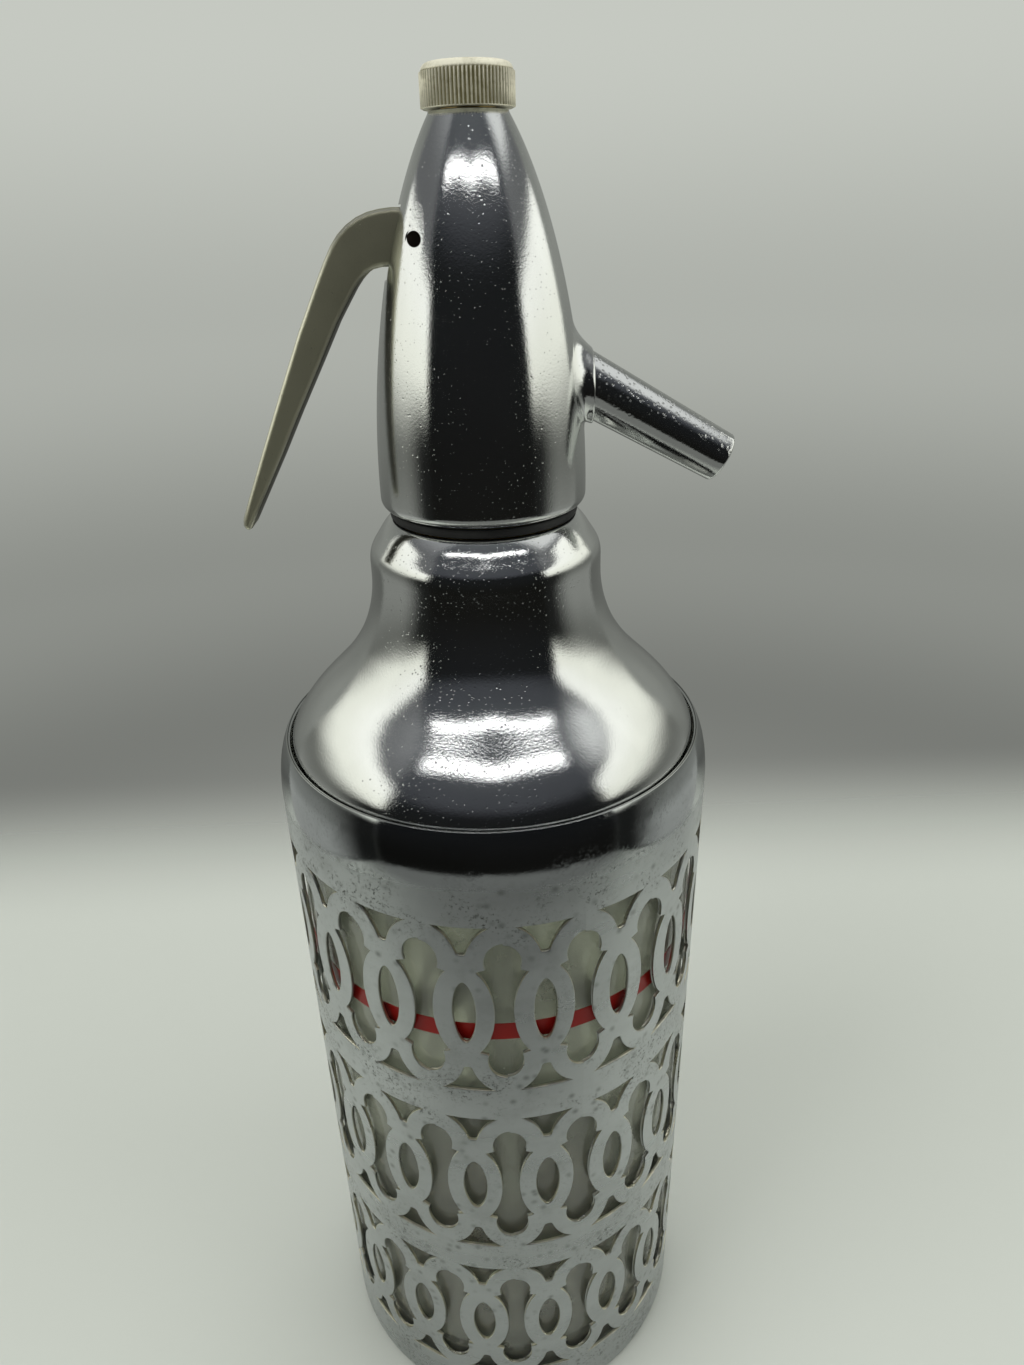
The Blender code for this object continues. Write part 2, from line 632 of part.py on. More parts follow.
def make_neck():
    inner = GLASS_NECK_RADIUS + GAP
    far = COLLAR_RADIUS + OVERRUN
    for name, side in (("collar_half_front", -1), ("collar_half_back", 1)):
        half = tube(name, inner, COLLAR_RADIUS, COLLAR_Z, COLLAR_TOP_Z, BRASS)
        edges = sorted((side * COLLAR_SPLIT / 2, -side * far))
        boolean(half, block(name + "_cut", Vector((-far, edges[0], COLLAR_Z - OVERRUN)),
                            Vector((far, edges[1], COLLAR_TOP_Z + OVERRUN))))
    shelf = GLASS_BEAD_RADIUS + GAP
    turned("neck_coupling",
           [(COUPLING_INNER, COUPLING_TOP_Z), (COUPLING_THREAD, COUPLING_TOP_Z),
            (COUPLING_THREAD, COUPLING_LAND_Z), (COUPLING_LAND, COUPLING_LAND_Z),
            (COUPLING_LAND, COUPLING_Z), (shelf, COUPLING_Z), (shelf, COUPLING_SHELF_Z),
            (COUPLING_INNER, COUPLING_SHELF_Z)], BRASS)
    tube("mouth_gasket", GLASS_NECK_BORE, GLASS_NECK_RADIUS, GASKET_Z, GASKET_Z + GASKET_HEIGHT,
         RUBBER)
    tube("head_seal_ring", DOME_INNER, DOME_INNER + SEAL_RING_WIDTH, SEAL_RING_Z,
         SEAL_RING_Z + SEAL_RING_HEIGHT, RUBBER, steps=STEPS_LARGE)


def dome_profile():
    """The shoulder's outer side from its top lip down to the end of its skirt."""
    lip = DOME_INNER + DOME_LIP_LAND
    bead = bezier((DOME_CHAMFER_RADIUS, DOME_CHAMFER_Z),
                  (DOME_NECK_RADIUS, DOME_CHAMFER_Z - DOME_BEAD_DROP / 3),
                  (DOME_NECK_RADIUS, DOME_NECK_Z + DOME_BEAD_DROP / 3),
                  (DOME_NECK_RADIUS, DOME_NECK_Z), 4)
    bell = bezier((DOME_NECK_RADIUS, DOME_NECK_Z),
                  (DOME_NECK_RADIUS, DOME_NECK_Z - DOME_UPPER_HANDLE),
                  (DOME_SKIRT_RADIUS - DOME_LOWER_HANDLE_IN, JACKET_TOP_Z + DOME_LOWER_HANDLE_UP),
                  (DOME_SKIRT_RADIUS, JACKET_TOP_Z), DOME_CURVE_POINTS)
    return ([(DOME_INNER, DOME_TOP_Z), (lip, DOME_TOP_Z)] + bead + bell[1:]
            + [(DOME_SKIRT_RADIUS, JACKET_TOP_Z - DOME_SKIRT)])


def make_dome():
    outer = dome_profile()
    inner = offset_profile(outer[1:], SHEET)
    inner[0] = (DOME_INNER, DOME_TOP_Z - SHEET)
    inner[-1] = (DOME_SKIRT_RADIUS - SHEET, JACKET_TOP_Z - DOME_SKIRT)
    turned("shoulder_dome", outer + list(reversed(inner)), CHROME, steps=STEPS_LARGE)


# Head

def head_curve():
    """The casting's outer side, from its top edge down to the round bottom edge."""
    low_z = HEAD_Z + HEAD_EDGE
    side = bezier((HEAD_TOP_RADIUS, HEAD_TOP_Z),
                  (HEAD_TOP_RADIUS + HEAD_UPPER_HANDLE_OUT, HEAD_TOP_Z - HEAD_UPPER_HANDLE_DOWN),
                  (HEAD_RADIUS + HEAD_LOWER_HANDLE_OUT, low_z + HEAD_LOWER_HANDLE_UP),
                  (HEAD_RADIUS, low_z), HEAD_CURVE_POINTS)
    edge = arc((HEAD_RADIUS - HEAD_EDGE, low_z), HEAD_EDGE, HEAD_EDGE, 0, -math.pi / 2,
               HEAD_EDGE_POINTS)
    return side + edge[1:]


def spout_point(distance):
    return SPOUT_CROSSING + SPOUT_DIRECTION * distance


def make_boss():
    """A short flared sleeve that follows the spout, with upright ends."""
    mouth = SPOUT_ROOT_RADIUS + GAP + BOSS_WALL
    flare = bezier((mouth, 0), (mouth, -BOSS_FLARE / 2), (mouth, -BOSS_FLARE / 2),
                   (BOSS_ROOT_RADIUS, -BOSS_FLARE), 5)
    profile = flare + [(BOSS_ROOT_RADIUS, BOSS_START - BOSS_FACE_X)]
    form = bmesh.new()
    points = [form.verts.new((radius, 0, height)) for radius, height in profile]
    edges = [form.edges.new(pair) for pair in zip(points, points[1:])]
    bmesh.ops.spin(form, geom=points + edges, cent=(0, 0, 0), axis=(0, 0, 1),
                   angle=2 * math.pi, steps=STEPS_MEDIUM)
    bmesh.ops.remove_doubles(form, verts=form.verts, dist=MERGE)
    bmesh.ops.holes_fill(form, edges=form.edges)
    bmesh.ops.recalc_face_normals(form, faces=form.faces)
    upright = Matrix.Rotation(math.pi / 2, 4, "Y")
    stretch = Matrix.Diagonal((1, 1, 1 / math.cos(SPOUT_ANGLE), 1))
    form.transform(Matrix.Translation((BOSS_FACE_X, 0, 0)) @ stretch @ upright)
    for vertex in form.verts:
        vertex.co.z += SPOUT_CROSSING.z - vertex.co.x * math.tan(SPOUT_ANGLE)
    mesh = bpy.data.meshes.new("spout_boss")
    form.to_mesh(mesh)
    form.free()
    return add_object("spout_boss", mesh)


def make_head():
    """Hollow casting: lever slot behind, spout boss in front, stepped bore from end to end."""
    outer = head_curve()
    head = turned("head_housing", [(0, HEAD_TOP_Z)] + outer + [(0, HEAD_Z)], CHROME,
                  steps=STEPS_LARGE, closed=False)
    boolean(head, make_boss(), "UNION")
    up = Vector((0, 0, 1))
    room_z = HEAD_Z + FORK_ROOM_Z
    room_top_z = room_z + FORK_ROOM_HEIGHT
    bores = [("coupling_bore", HEAD_BORE, HEAD_Z - OVERRUN, HEAD_BORE_Z, STEPS_LARGE),
             ("barrel_bore", BARREL_BORE, HEAD_Z - OVERRUN, BODY_TOP_Z + GAP, STEPS_MEDIUM),
             ("gland_bore", SEAL_POCKET, BODY_TOP_Z, room_z + OVERRUN, STEPS_SMALL),
             ("fork_room", FORK_ROOM_RADIUS, room_z, room_top_z, STEPS_SMALL),
             ("spring_bore", NIPPLE_BORE, room_top_z - OVERRUN, HEAD_TOP_Z + OVERRUN,
              STEPS_SMALL)]
    for name, radius, low, high, steps in bores:
        boolean(head, cylinder(name, radius, Vector((0, 0, low)), up, high - low, steps))
    half = LEVER_THICKNESS / 2 + LEVER_SLOT_CLEARANCE
    boolean(head, block("lever_slot", Vector((-HEAD_RADIUS - OVERRUN, -half, room_z + GAP)),
                        Vector((0, half, room_top_z - GAP))))
    across = Vector((0, 1, 0))
    boolean(head, cylinder("pin_hole", PIN_RADIUS + GAP, PIVOT - across * HEAD_RADIUS, across,
                           2 * HEAD_RADIUS, STEPS_SMALL))
    socket = SPOUT_ROOT_RADIUS + GAP
    boolean(head, cylinder("spout_socket", socket, spout_point(SPOUT_START - GAP), SPOUT_DIRECTION,
                           SPOUT_REACH, STEPS_MEDIUM))
    boolean(head, cylinder("spout_way", PORT_RADIUS + GAP, spout_point(BODY_RADIUS / 2),
                           SPOUT_DIRECTION, SPOUT_START - BODY_RADIUS / 2, STEPS_SMALL))
    return head


def make_spout():
    """Tapered tube with a rounded rim, turned upright and then laid along the spout's line."""
    length = SPOUT_REACH - SPOUT_START
    profile = [(SPOUT_BORE, length), (SPOUT_END_RADIUS - SPOUT_EDGE, length),
               (SPOUT_END_RADIUS, length - SPOUT_EDGE), (SPOUT_ROOT_RADIUS, 0), (SPOUT_BORE, 0)]
    spout = turned("spout_tube", profile, CHROME)
    spout.rotation_euler = (0, math.pi / 2 + SPOUT_ANGLE, 0)
    spout.location = spout_point(SPOUT_START)


def make_valve():
    """Barrel with its seat, stem seal and the tube that reaches down into the bottle."""
    body = turned("valve_body",
                  [(SEAL_POCKET, BODY_TOP_Z), (BODY_RADIUS, BODY_TOP_Z),
                   (BODY_RADIUS, HEAD_BORE_Z - GAP), (BODY_SKIRT_RADIUS, HEAD_BORE_Z - GAP),
                   (BODY_SKIRT_RADIUS, BODY_Z), (BODY_SOCKET, BODY_Z), (BODY_SOCKET, SEAT_TOP_Z),
                   (CHAMBER_RADIUS, SEAT_TOP_Z + GAP), (CHAMBER_RADIUS, CHAMBER_TOP_Z),
                   (GUIDE_BORE, CHAMBER_TOP_Z), (GUIDE_BORE, ROOF_Z), (SEAL_POCKET, ROOF_Z)], BRASS)
    boolean(body, cylinder("side_port", PORT_RADIUS, spout_point(CHAMBER_RADIUS), SPOUT_DIRECTION,
                           SPOUT_START - CHAMBER_RADIUS))
    insert = BODY_SOCKET - GAP
    dip_fit = DIP_RADIUS + GAP
    tube("dip_tube_nut", dip_fit, insert, BODY_Z, BODY_Z + DIP_NUT_HEIGHT, BRASS)
    lip = SEAT_ORIFICE + SEAT_LIP_WIDTH
    turned("valve_seat",
           [(SEAT_ORIFICE, SEAT_LIP_Z), (lip, SEAT_LIP_Z), (lip, SEAT_TOP_Z - GAP),
            (insert, SEAT_TOP_Z - GAP), (insert, SEAT_Z), (dip_fit, SEAT_Z),
            (dip_fit, DIP_TOP_Z + GAP), (SEAT_ORIFICE, DIP_TOP_Z + GAP)], BRASS)
    tube("dip_tube", DIP_BORE, DIP_RADIUS, DIP_Z, DIP_TOP_Z, PLASTIC, STEPS_SMALL)
    turned("stem_seal", arc((SEAL_MEAN_RADIUS, SEAL_Z), SEAL_CORD, SEAL_CORD,
                            math.pi / 2, -3 * math.pi / 2, 9)[:-1], RUBBER, STEPS_SMALL)
    tube("gland_nut", GUIDE_BORE, GLAND_RADIUS, GLAND_Z, GLAND_Z + GLAND_HEIGHT, BRASS,
         STEPS_SMALL)


def make_stem():
    """Hollow stem with the rubber disc in its cup and the nut that the fork lifts."""
    cup_inner = STEM_CUP_RADIUS - STEM_CUP_WALL
    turned("valve_stem",
           [(STEM_BORE, STEM_TOP_Z), (STEM_RADIUS, STEM_TOP_Z),
            (STEM_RADIUS, STEM_CUP_Z + STEM_CUP_TOP), (STEM_CUP_RADIUS, STEM_CUP_Z + STEM_CUP_TOP),
            (STEM_CUP_RADIUS, STEM_CUP_Z - STEM_CUP_SKIRT), (cup_inner, STEM_CUP_Z - STEM_CUP_SKIRT),
            (cup_inner, STEM_CUP_Z), (STEM_SPIGOT, STEM_CUP_Z), (STEM_SPIGOT, DISC_Z + GAP),
            (STEM_BORE, DISC_Z + GAP)], BRASS, STEPS_SMALL)
    tube("valve_disc", STEM_SPIGOT + GAP, cup_inner - GAP, DISC_Z, DISC_TOP_Z, RUBBER, STEPS_SMALL)
    tube("lift_collar", STEM_RADIUS + GAP, COLLAR_NUT_RADIUS, NUT_Z, NUT_TOP_Z, BRASS, STEPS_SMALL)
    helix("return_spring", RETURN_WIRE, RETURN_COIL_RADIUS, RETURN_TURNS, NUT_TOP_Z + GAP,
          NIPPLE_Z - GAP, STEEL)


# Lever

def lever_outline():
    """Side view of the lever, from the pivot: fork arm forward, handle back and down."""
    knee = (-LEVER_KNEE_OUT, -LEVER_KNEE_DROP)
    tip = (-LEVER_TIP_OUT, -LEVER_TIP_DROP)
    back = bezier((PIVOT_X / 4, LEVER_ROOT_TOP), (-LEVER_ELBOW_OUT, LEVER_ROOT_TOP),
                  (-LEVER_ELBOW_OUT, LEVER_ROOT_TOP - LEVER_ELBOW_DROP), knee, LEVER_CURVE_POINTS)
    inside = [(-LEVER_INNER_MID_OUT, -LEVER_INNER_MID_DROP)]
    inside += bezier((-LEVER_INNER_BEND_OUT, -LEVER_INNER_BEND_DROP),
                     (-LEVER_INNER_OUT - LEVER_NOSE, -LEVER_ROOT_BOTTOM),
                     (-LEVER_INNER_OUT, -LEVER_ROOT_BOTTOM), (0, -LEVER_ROOT_BOTTOM), 5)
    arm = [(FORK_ARM, -FORK_BOTTOM), (FORK_ARM, FORK_TOP - GAP), (FORK_ARM - GAP, FORK_TOP)]
    nose = [(LEVER_NOSE, FORK_TOP)]
    ends = [tip, (tip[0] + LEVER_TIP_THICKNESS / 2, tip[1] - LEVER_TIP_THICKNESS / 2),
            (tip[0] + LEVER_TIP_THICKNESS, tip[1])]
    return back + ends + inside + arm + nose


def make_lever():
    """A flat outline drawn out to the lever's thickness, then bored and forked."""
    curve = bpy.data.curves.new("lever", "CURVE")
    curve.dimensions = "2D"
    curve.fill_mode = "BOTH"
    curve.extrude = LEVER_THICKNESS / 2
    outline = lever_outline()
    spline = curve.splines.new("POLY")
    spline.points.add(len(outline) - 1)
    spline.use_cyclic_u = True
    for target, (x, z) in zip(spline.points, outline):
        target.co = (x, z, 0, 1)
    flat = bpy.data.objects.new("lever_outline", curve)
    PARTS.objects.link(flat)
    evaluated = flat.evaluated_get(bpy.context.evaluated_depsgraph_get())
    mesh = bpy.data.meshes.new_from_object(evaluated)
    bpy.data.objects.remove(flat)
    form = bmesh.new()
    form.from_mesh(mesh)
    bmesh.ops.remove_doubles(form, verts=form.verts, dist=MERGE)
    form.transform(Matrix.Rotation(math.pi / 2, 4, "X"))
    bmesh.ops.dissolve_limit(form, angle_limit=math.radians(1), verts=form.verts,
                             edges=form.edges)
    bmesh.ops.recalc_face_normals(form, faces=form.faces)
    form.to_mesh(mesh)
    form.free()
    lever = add_object("lever", mesh, CAST)
    lever.location = PIVOT
    across = Vector((0, 1, 0))
    edge = lever.modifiers.new("edge", "BEVEL")
    edge.width = LEVER_BEVEL
    edge.segments = 1
    edge.limit_method = "ANGLE"
    edge.angle_limit = math.radians(60)
    boolean(lever, cylinder("lever_hole", PIN_RADIUS + GAP, PIVOT - across * LEVER_THICKNESS,
                            across, 2 * LEVER_THICKNESS, STEPS_SMALL))
    gap = STEM_RADIUS + FORK_GAP_CLEARANCE
    boolean(lever, block("fork_gap", Vector((-gap - FORK_GAP_CLEARANCE, -gap, PIVOT.z - FORK_ARM)),
                         Vector((FORK_ARM, gap, PIVOT.z + FORK_ARM))))
    cylinder("lever_pin", PIN_RADIUS, PIVOT - across * PIN_HALF_LENGTH, across,
             2 * PIN_HALF_LENGTH, STEPS_SMALL, STEEL)


# Charging valve and cap

def make_charging_valve():
    turned("charging_nipple",
           [(NIPPLE_INLET, NIPPLE_TOP_Z), (NIPPLE_RADIUS, NIPPLE_TOP_Z), (NIPPLE_RADIUS, NIPPLE_Z),
            (CHECK_CHAMBER, NIPPLE_Z), (CHECK_CHAMBER, CHECK_SEAT_Z),
            (NIPPLE_INLET, CHECK_SEAT_Z)], BRASS, STEPS_SMALL)
    tube("check_retainer", RETAINER_BORE, CHECK_CHAMBER - GAP, RETAINER_Z, RETAINER_TOP_Z, BRASS,
         STEPS_SMALL)
    mesh = bpy.data.meshes.new("check_ball")
    form = bmesh.new()
    bmesh.ops.create_uvsphere(form, u_segments=12, v_segments=8, radius=BALL_RADIUS)
    form.to_mesh(mesh)
    form.free()
    mesh.shade_smooth()
    add_object("check_ball", mesh, STEEL).location = (0, 0, BALL_Z)
    helix("check_spring", CHECK_WIRE, CHECK_COIL_RADIUS, CHECK_TURNS, RETAINER_TOP_Z + GAP,
          BALL_Z - BALL_RADIUS + CHECK_WIRE, STEEL)


def ridge_here(flat):
    """Every second column of the cap's side is the top of a ridge."""
    return round(math.atan2(flat.y, flat.x) / (math.pi / KNURL_COUNT)) % 2 == 0


def make_cap():
    """Hollow cap with a chamfered top and upright knurling."""
    inner = NIPPLE_RADIUS + GAP
    core = CAP_RADIUS - KNURL_DEPTH
    shape = [(0, CAP_TOP_Z), (core - CAP_CHAMFER, CAP_TOP_Z), (core, CAP_TOP_Z - CAP_CHAMFER),
             (core, CAP_Z), (inner, CAP_Z), (inner, CAP_ROOF_Z), (0, CAP_ROOF_Z)]
    plain = turned("plain_cap", shape, ALUMINIUM, 2 * KNURL_COUNT, closed=False)
    evaluated = plain.evaluated_get(bpy.context.evaluated_depsgraph_get())
    mesh = bpy.data.meshes.new_from_object(evaluated)
    bpy.data.objects.remove(plain)
    for vertex in mesh.vertices:
        flat = Vector((vertex.co.x, vertex.co.y))
        if flat.length > core - GAP / 3 and ridge_here(flat):
            vertex.co.x += flat.normalized().x * KNURL_DEPTH
            vertex.co.y += flat.normalized().y * KNURL_DEPTH
    mesh.materials.clear()
    mesh.set_sharp_from_angle(angle=math.radians(30))
    add_object("knurled_cap", mesh, ALUMINIUM)
    turned("cap_washer", [(0, CAP_ROOF_Z - GAP), (NIPPLE_RADIUS, CAP_ROOF_Z - GAP),
                          (NIPPLE_RADIUS, CAP_WASHER_Z), (0, CAP_WASHER_Z)],
           RUBBER, STEPS_SMALL, closed=False)


clear_scene()
PARTS = collection("soda_siphon")
CUTTERS = collection("cutters")
CHROME = material("chrome", (0.75, 0.77, 0.8), 0.08, 1.0)
JACKET_STEEL = material("plated_steel", (0.47, 0.49, 0.53), 0.35, 0.85)
STEEL = material("steel", (0.55, 0.55, 0.56), 0.35, 1.0)
CAST = material("cast_aluminium", (0.53, 0.51, 0.46), 0.4, 0.9)
ALUMINIUM = material("aluminium", (0.62, 0.6, 0.54), 0.35, 1.0)
BRASS = material("brass", (0.7, 0.55, 0.28), 0.3, 1.0)
GLASS = material("glass", (0.72, 0.76, 0.74), 0.05, 0.0, 0.35)
RUBBER = material("rubber", (0.03, 0.03, 0.03), 0.7, 0.0)
PLASTIC = material("clear_plastic", (0.8, 0.82, 0.8), 0.3, 0.0)
CORK = material("cork", (0.45, 0.3, 0.18), 0.9, 0.0)

make_foot()
make_bottle()
make_jacket()
make_neck()
make_dome()
make_head()
make_spout()
make_valve()
make_stem()
make_lever()
make_charging_valve()
make_cap()
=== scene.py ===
"""Soda siphon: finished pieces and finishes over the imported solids.

Every size is in metres in the shared frame: +Z up, the spout towards +X, the lever on -X.
"""
import json
import logging
import math
from dataclasses import dataclass, field
from enum import Enum
from typing import Callable, Iterable, Sequence

import bmesh
import bpy
from mathutils import Matrix, Vector

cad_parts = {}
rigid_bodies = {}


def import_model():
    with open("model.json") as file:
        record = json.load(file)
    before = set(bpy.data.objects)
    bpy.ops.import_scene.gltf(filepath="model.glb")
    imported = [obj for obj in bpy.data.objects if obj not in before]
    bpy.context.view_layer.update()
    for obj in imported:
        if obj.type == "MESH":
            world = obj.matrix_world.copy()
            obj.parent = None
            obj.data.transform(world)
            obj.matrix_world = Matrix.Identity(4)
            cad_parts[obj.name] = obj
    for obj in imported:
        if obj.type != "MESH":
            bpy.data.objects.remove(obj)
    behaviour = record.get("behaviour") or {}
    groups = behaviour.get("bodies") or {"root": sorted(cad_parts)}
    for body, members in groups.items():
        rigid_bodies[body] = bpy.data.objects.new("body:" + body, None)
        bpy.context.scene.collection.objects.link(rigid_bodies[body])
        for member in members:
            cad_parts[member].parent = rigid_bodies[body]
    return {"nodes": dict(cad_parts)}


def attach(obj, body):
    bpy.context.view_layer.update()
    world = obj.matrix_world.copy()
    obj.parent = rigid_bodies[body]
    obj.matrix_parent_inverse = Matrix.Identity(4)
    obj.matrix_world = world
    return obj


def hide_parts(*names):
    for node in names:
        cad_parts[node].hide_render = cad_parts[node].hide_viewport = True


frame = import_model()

# Millimetre, distance at which vertices merge, flats of round pieces and of the widest ones
MM = 0.001
MERGE = 1e-5
ROUND_SIDES = 96
WIDE_SIDES = 144
LOG = logging.getLogger("siphon")

Point = tuple[float, float]
Colour = tuple[float, float, float, float]
Piece = bpy.types.Object
Material = bpy.types.Material
Node = bpy.types.Node
Socket = bpy.types.NodeSocket
Outputs = bpy.types.bpy_prop_collection


class Side(Enum):
    """The side of the head that a detail lies on."""

    FRONT = -1
    BACK = 1


# Mesh tools

def deselect() -> None:
    """Leave edit mode if need be and select nothing."""
    if bpy.context.object and bpy.context.object.mode != "OBJECT":
        bpy.ops.object.mode_set(mode="OBJECT")
    bpy.ops.object.select_all(action="DESELECT")


def activate(item: Piece) -> None:
    """Select one object alone and make it the active one.

    Args:
        item: the object to work on.
    """
    deselect()
    item.select_set(True)
    bpy.context.view_layer.objects.active = item


def settle(item: Piece, name: str) -> Piece:
    """Name an object and put its place into its mesh.

    Args:
        item: a mesh object, placed anywhere.
        name: the piece's name.

    Returns:
        The same object, at the origin, unturned and unscaled.
    """
    activate(item)
    bpy.ops.object.transform_apply(location=True, rotation=True, scale=True)
    item.name = name
    item.data.name = name
    return item


def select_where(item: Piece, test: Callable[[Vector], bool]) -> None:
    """Select, in edit mode, the vertices that pass a test.

    Args:
        item: the object in edit mode.
        test: takes a vertex's place and says whether it counts.
    """
    bpy.ops.mesh.select_mode(type="VERT")
    bpy.ops.mesh.select_all(action="DESELECT")
    form = bmesh.from_edit_mesh(item.data)
    for vertex in form.verts:
        if test(vertex.co):
            vertex.select = True
    form.select_flush(True)
    bmesh.update_edit_mesh(item.data)


def slice_mesh(place: Sequence[float], normal: Sequence[float], clear: bool = False) -> None:
    """Cut the mesh in edit mode along a plane.

    Args:
        place: a point of the plane.
        normal: the plane's direction.
        clear: takes away what lies on the normal's side.
    """
    bpy.ops.mesh.select_all(action="SELECT")
    bpy.ops.mesh.bisect(plane_co=place, plane_no=normal, clear_outer=clear)


def close_loop() -> None:
    """Draw the selected loop of edges together into one point."""
    bpy.ops.mesh.extrude_edges_move()
    bpy.ops.mesh.merge(type="CENTER")


def turn_profile(name: str, profile: Sequence[Point], sides: int, ring: bool = False,
                 smooth: float = 32.0) -> Piece:
    """Raise a circle through a profile, one extrusion for each of its points.

    Args:
        name: the piece's name.
        profile: (radius, height) points. A radius of zero closes that end on the axis.
        sides: how many flats the circle has.
        ring: joins the last point to the first, for a wall with a hole through it.
        smooth: edges that turn by more degrees than this stay crisp.

    Returns:
        The turned object, faces outwards.
    """
    points = [p for p in profile if p[0] > 0]
    deselect()
    bpy.ops.mesh.primitive_circle_add(vertices=sides, radius=points[0][0], fill_type="NOTHING",
                                      location=(0, 0, points[0][1]))
    item = settle(bpy.context.object, name)
    bpy.ops.object.mode_set(mode="EDIT")
    bpy.ops.mesh.select_mode(type="EDGE")
    bpy.ops.mesh.select_all(action="SELECT")
    path = points[1:] + (points[:1] if ring else [])
    radius, height = points[0]
    for next_radius, next_height in path:
        rise = (0, 0, next_height - height)
        bpy.ops.mesh.extrude_edges_move(TRANSFORM_OT_translate={"value": rise})
        share = next_radius / radius
        bpy.ops.transform.resize(value=(share, share, 1), center_override=(0, 0, next_height))
        radius, height = next_radius, next_height
    if profile[-1][0] == 0 and not ring:
        close_loop()
    if profile[0][0] == 0 and not ring:
        form = bmesh.from_edit_mesh(item.data)
        form.verts.ensure_lookup_table()
        lead = {form.verts[i] for i in range(sides)}
        bpy.ops.mesh.select_all(action="DESELECT")
        for edge in form.edges:
            if edge.verts[0] in lead and edge.verts[1] in lead and edge.is_boundary:
                edge.select_set(True)
        bmesh.update_edit_mesh(item.data)
        close_loop()
    bpy.ops.mesh.select_all(action="SELECT")
    bpy.ops.mesh.remove_doubles(threshold=MERGE)
    bpy.ops.mesh.normals_make_consistent(inside=False)
    bpy.ops.object.mode_set(mode="OBJECT")
    bpy.ops.object.shade_smooth_by_angle(angle=math.radians(smooth))
    return item


def flat_sheet(name: str, outlines: Sequence[Sequence[Point]], half: float,
               rounding: float, steps: int) -> Piece:
    """Fill flat outlines, thicken them and round their edges.

    Args:
        name: the piece's name.
        outlines: the outer outline, then the openings, in metres.
        half: half the sheet's thickness.
        rounding: radius of the rounded edges.
        steps: how many extra facets round each edge.

    Returns:
        A mesh object that lies in the XY plane, its thickness along Z.
    """
    curve = bpy.data.curves.new(name, "CURVE")
    curve.dimensions = "2D"
    curve.fill_mode = "BOTH"
    curve.extrude = half - rounding
    curve.bevel_depth = rounding
    curve.bevel_resolution = steps
    curve.offset = -rounding
    for outline in outlines:
        spline = curve.splines.new("POLY")
        spline.points.add(len(outline) - 1)
        spline.use_cyclic_u = True
        for target, (x, y) in zip(spline.points, outline):
            target.co = (x, y, 0, 1)
    item = bpy.data.objects.new(name, curve)
    bpy.context.scene.collection.objects.link(item)
    activate(item)
    bpy.ops.object.convert(target="MESH")
    item = bpy.context.object
    bpy.ops.object.mode_set(mode="EDIT")
    bpy.ops.mesh.select_all(action="SELECT")
    bpy.ops.mesh.remove_doubles(threshold=MERGE / 5)
    bpy.ops.object.mode_set(mode="OBJECT")
    item.name = name
    return item


def cut_away(item: Piece, cutter: Piece) -> None:
    """Cut a helper shape out of a piece and remove the helper.

    Args:
        item: the piece that is cut.
        cutter: the helper shape.
    """
    activate(item)
    change = item.modifiers.new("cut", "BOOLEAN")
    change.operation = "DIFFERENCE"
    change.object = cutter
    change.solver = "EXACT"
    bpy.ops.object.modifier_apply(modifier=change.name)
    bpy.data.objects.remove(cutter)


def rod(name: str, radius: float, start: Vector, direction: Vector, length: float,
        sides: int = 48) -> Piece:
    """Make a plain round helper for cutting.

    Args:
        name: the helper's name.
        radius: its radius.
        start: the middle of its first end.
        direction: the unit vector that it runs along.
        length: its length.
        sides: how many flats it has.

    Returns:
        The helper, its place in its mesh.
    """
    deselect()
    place = start + direction * (length / 2)
    turn = direction.to_track_quat("Z", "Y").to_euler()
    bpy.ops.mesh.primitive_cylinder_add(vertices=sides, radius=radius, depth=length,
                                        location=place, rotation=turn)
    return settle(bpy.context.object, name)


def slab(name: str, low: Vector, high: Vector) -> Piece:
    """Make a plain square helper for cutting.

    Args:
        name: the helper's name.
        low: its lowest corner.
        high: its highest corner.

    Returns:
        The helper, its place in its mesh.
    """
    deselect()
    bpy.ops.mesh.primitive_cube_add(size=1, location=(low + high) / 2)
    item = bpy.context.object
    item.scale = high - low
    return settle(item, name)


def mm(*pairs: Point) -> tuple[Point, ...]:
    """Points that are given in millimetres, in metres."""
    return tuple((x * MM, y * MM) for x, y in pairs)


def mirrored(points: Sequence[Point]) -> list[Point]:
    """The same points on the axis's other side, in backward order."""
    return [(-x, z) for x, z in reversed(points)]


def cubic_weights(share: float) -> tuple[float, float, float, float]:
    """How much each of a cubic curve's four corners counts at a share of its way."""
    rest = 1 - share
    return rest**3, 3 * rest**2 * share, 3 * rest * share**2, share**3


def bezier(start: Point, first: Point, second: Point, end: Point, count: int) -> list[Point]:
    """Points along a cubic curve.

    Args:
        start: first end.
        first: handle of the first end.
        second: handle of the second end.
        end: second end.
        count: number of points, both ends included.

    Returns:
        The points in order.
    """
    points = []
    corners = (start, first, second, end)
    for i in range(count):
        weights = cubic_weights(i / (count - 1))
        points.append(tuple(sum(w * p[k] for w, p in zip(weights, corners)) for k in range(2)))
    return points


def through(points: Sequence[Point], steps: int) -> list[Point]:
    """A smooth line through points.

    Args:
        points: what the line passes through.
        steps: how many pieces each stretch is drawn in.

    Returns:
        The line's points in order, both ends included.
    """
    line = [points[0]]
    for i in range(len(points) - 1):
        before, start = points[max(i - 1, 0)], points[i]
        end, after = points[i + 1], points[min(i + 2, len(points) - 1)]
        first = tuple(s + (e - b) / 6 for s, e, b in zip(start, end, before))
        second = tuple(e - (a - s) / 6 for e, a, s in zip(end, after, start))
        line += bezier(start, first, second, end, steps + 1)[1:]
    return line


